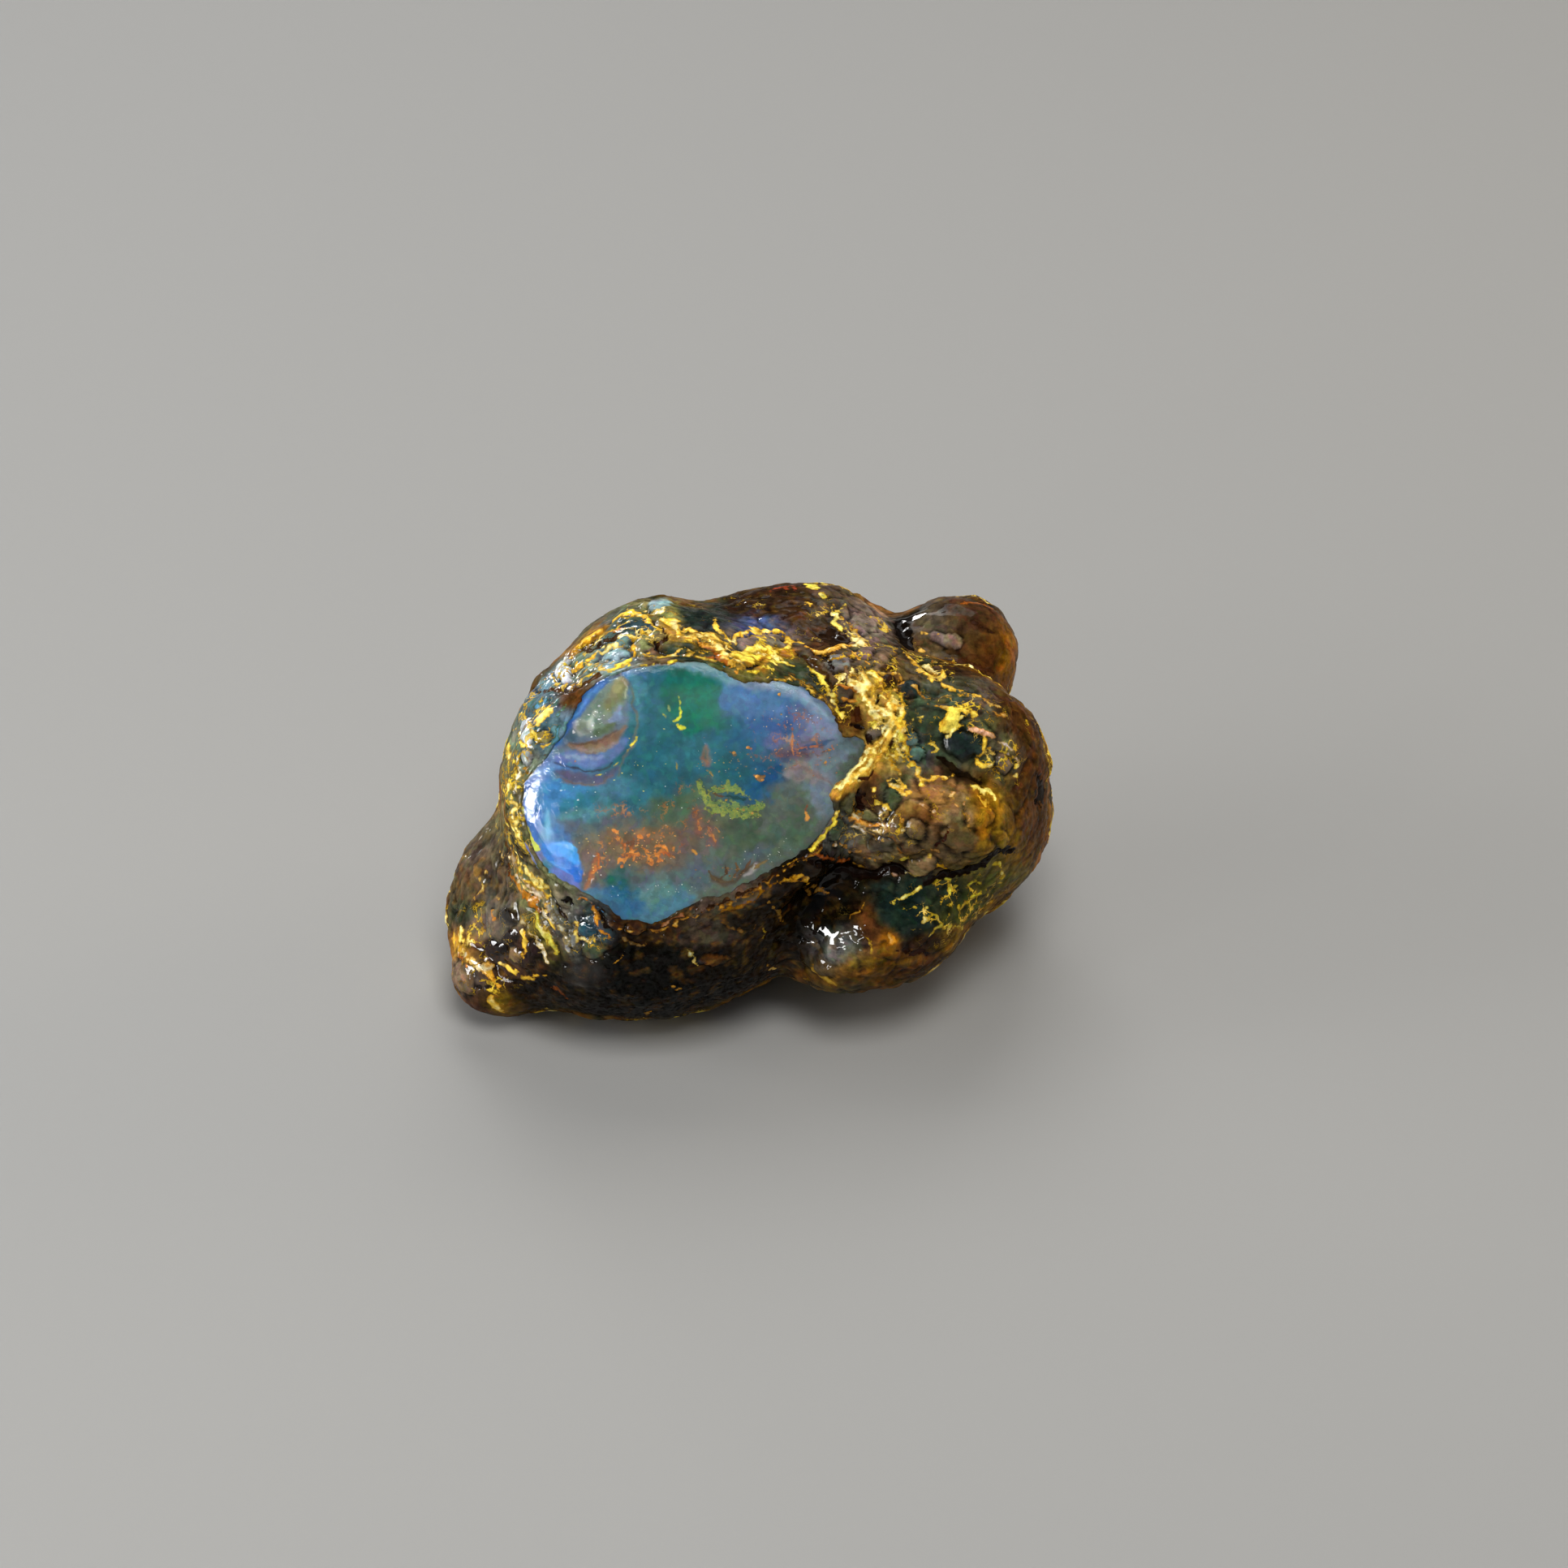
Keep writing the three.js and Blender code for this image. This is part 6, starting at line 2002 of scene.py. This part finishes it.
@dataclass(frozen=True)
class Softbox:
    """A soft light: where it stands round the window, its size in millimetres, and its power in watts.

    Attributes:
        name: Its name.
        turn: How far it stands to the right of the window's axis, in degrees.
        rise: How far it stands above that axis, in degrees.
        away: Its distance.
        roll: How far its height leans from upright towards the right, in degrees.
        size: Its width and height.
        power: Its power.
        colour: Its light's colour.
        mirrored: Whether it shows in reflections.
        lit: Whether it lights matt surfaces.
    """

    name: str
    turn: float
    rise: float
    away: float
    size: Spot
    power: float
    colour: str = "#ffffff"
    mirrored: bool = True
    lit: bool = True
    roll: float = 0.0

    def build(self, middle: np.ndarray) -> None:
        """Builds the light, facing the nodule's middle."""
        right, up, out = CHART.axes()
        turn, rise = math.radians(self.turn), math.radians(self.rise)
        level = math.sin(turn) * right + math.cos(turn) * out
        towards = math.cos(rise) * level + math.sin(rise) * up
        aside = math.cos(turn) * right - math.sin(turn) * out
        above = math.cos(rise) * up - math.sin(rise) * level
        lean = math.radians(self.roll)
        tall = math.cos(lean) * above + math.sin(lean) * aside
        light = bpy.data.lights.new(self.name, "AREA")
        light.shape = "RECTANGLE"
        light.size, light.size_y = self.size[0] * MM, self.size[1] * MM
        light.energy = self.power
        light.color = rgba(self.colour)[:3]
        lamp = bpy.data.objects.new(self.name, light)
        lamp.location = (middle + towards * self.away) * MM
        lamp.rotation_mode = "QUATERNION"
        axes = Matrix((np.cross(tall, towards), tall, towards)).transposed()
        lamp.rotation_quaternion = axes.to_quaternion()
        lamp.visible_glossy, lamp.visible_diffuse = self.mirrored, self.lit
        bpy.context.scene.collection.objects.link(lamp)


@dataclass
class Studio:
    """A plain pale floor, soft lights and the camera in front of the window."""

    lights: tuple[Softbox, ...] = (
        Softbox("left_window_top", -43, 3, 330, (24, 46), 0.065, roll=12),
        Softbox("left_window_low", -45, -17, 330, (18, 80), 0.09, roll=33),
        Softbox("left_window_foot", -44, -28, 330, (34, 24), 0.07, roll=33),
        Softbox("left_fill", -78, 12, 420, (200, 200), 1.1, mirrored=False),
        Softbox("heel_glint", -64, 2, 380, (150, 180), 2.8, lit=False),
        Softbox("nose_glint", -113, -4, 400, (130, 160), 2.2, lit=False),
        Softbox("crown_glint", -138, 28, 450, (80, 60), 0.5, lit=False),
        Softbox("knob_glint", -145, 52, 450, (90, 60), 0.6, lit=False),
        Softbox("overhead_sheet", -10, 100, 520, (420, 240), 0.6),
        Softbox("overhead_fill", -14, 85, 520, (300, 300), 1.2, mirrored=False),
        Softbox("right_edge", 98, 20, 450, (160, 260), 0.9, "#fff1dc", mirrored=False),
        Softbox("front_fill", 6, 26, 450, (200, 200), 1.7, mirrored=False),
    )
    surround: str = "#484c52"
    floor_colour: str = "#8e8d8a"
    floor_size: float = 1600.0
    lens: float = 100.0
    sensor: float = 36.0

    def build(self) -> None:
        """Builds the floor, the lights, the surround and the camera."""
        scene = bpy.context.scene
        bm = bmesh.new()
        bmesh.ops.create_grid(bm, x_segments=1, y_segments=1, size=self.floor_size / 2 * MM)
        mesh = bpy.data.meshes.new("floor")
        bm.to_mesh(mesh)
        bm.free()
        floor = bpy.data.objects.new("floor", mesh)
        scene.collection.objects.link(floor)
        mesh.materials.append(self.paper())
        for light in self.lights:
            light.build(np.array(CHART.middle))
        world = bpy.data.worlds.new("surround")
        world.use_nodes = True
        world.node_tree.nodes["Background"].inputs["Color"].default_value = rgba(self.surround)
        scene.world = world
        scene.view_settings.view_transform = "Standard"
        camera = bpy.data.objects.new("camera", bpy.data.cameras.new("camera"))
        camera.data.lens, camera.data.sensor_width = self.lens, self.sensor
        camera.data.clip_start, camera.data.clip_end = 0.01, 10
        camera.location = CHART.eye_place() * MM
        camera.rotation_mode = "QUATERNION"
        camera.rotation_quaternion = Vector(CHART.axes()[2]).to_track_quat("Z", "Y")
        scene.collection.objects.link(camera)
        scene.camera = camera

    def paper(self) -> bpy.types.Material:
        """Matt studio paper, pale and even."""
        material, tree, output = blank_material("studio_paper_matt")
        shader = add(tree, "BsdfPrincipled", feeds={"Base Color": rgba(self.floor_colour), "Roughness": 0.85})
        tree.links.new(shader.outputs[0], output.inputs["Surface"])
        return material


def main() -> None:
    """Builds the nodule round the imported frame, then its studio."""
    logging.basicConfig(level=logging.INFO, format="%(message)s")
    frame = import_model()
    skin = Skin()
    skin.build(frame["nodes"][NODE])
    pieces = [Crust(skin).build(), ClearWindow(skin).build(), MilkyHeart(skin).build(),
              *SealedFlecks(skin).build()]
    for piece in pieces:
        LOG.info("built %s with %d faces", piece.name, len(piece.data.polygons))
    Studio().build()


if __name__ == "__main__":
    main()
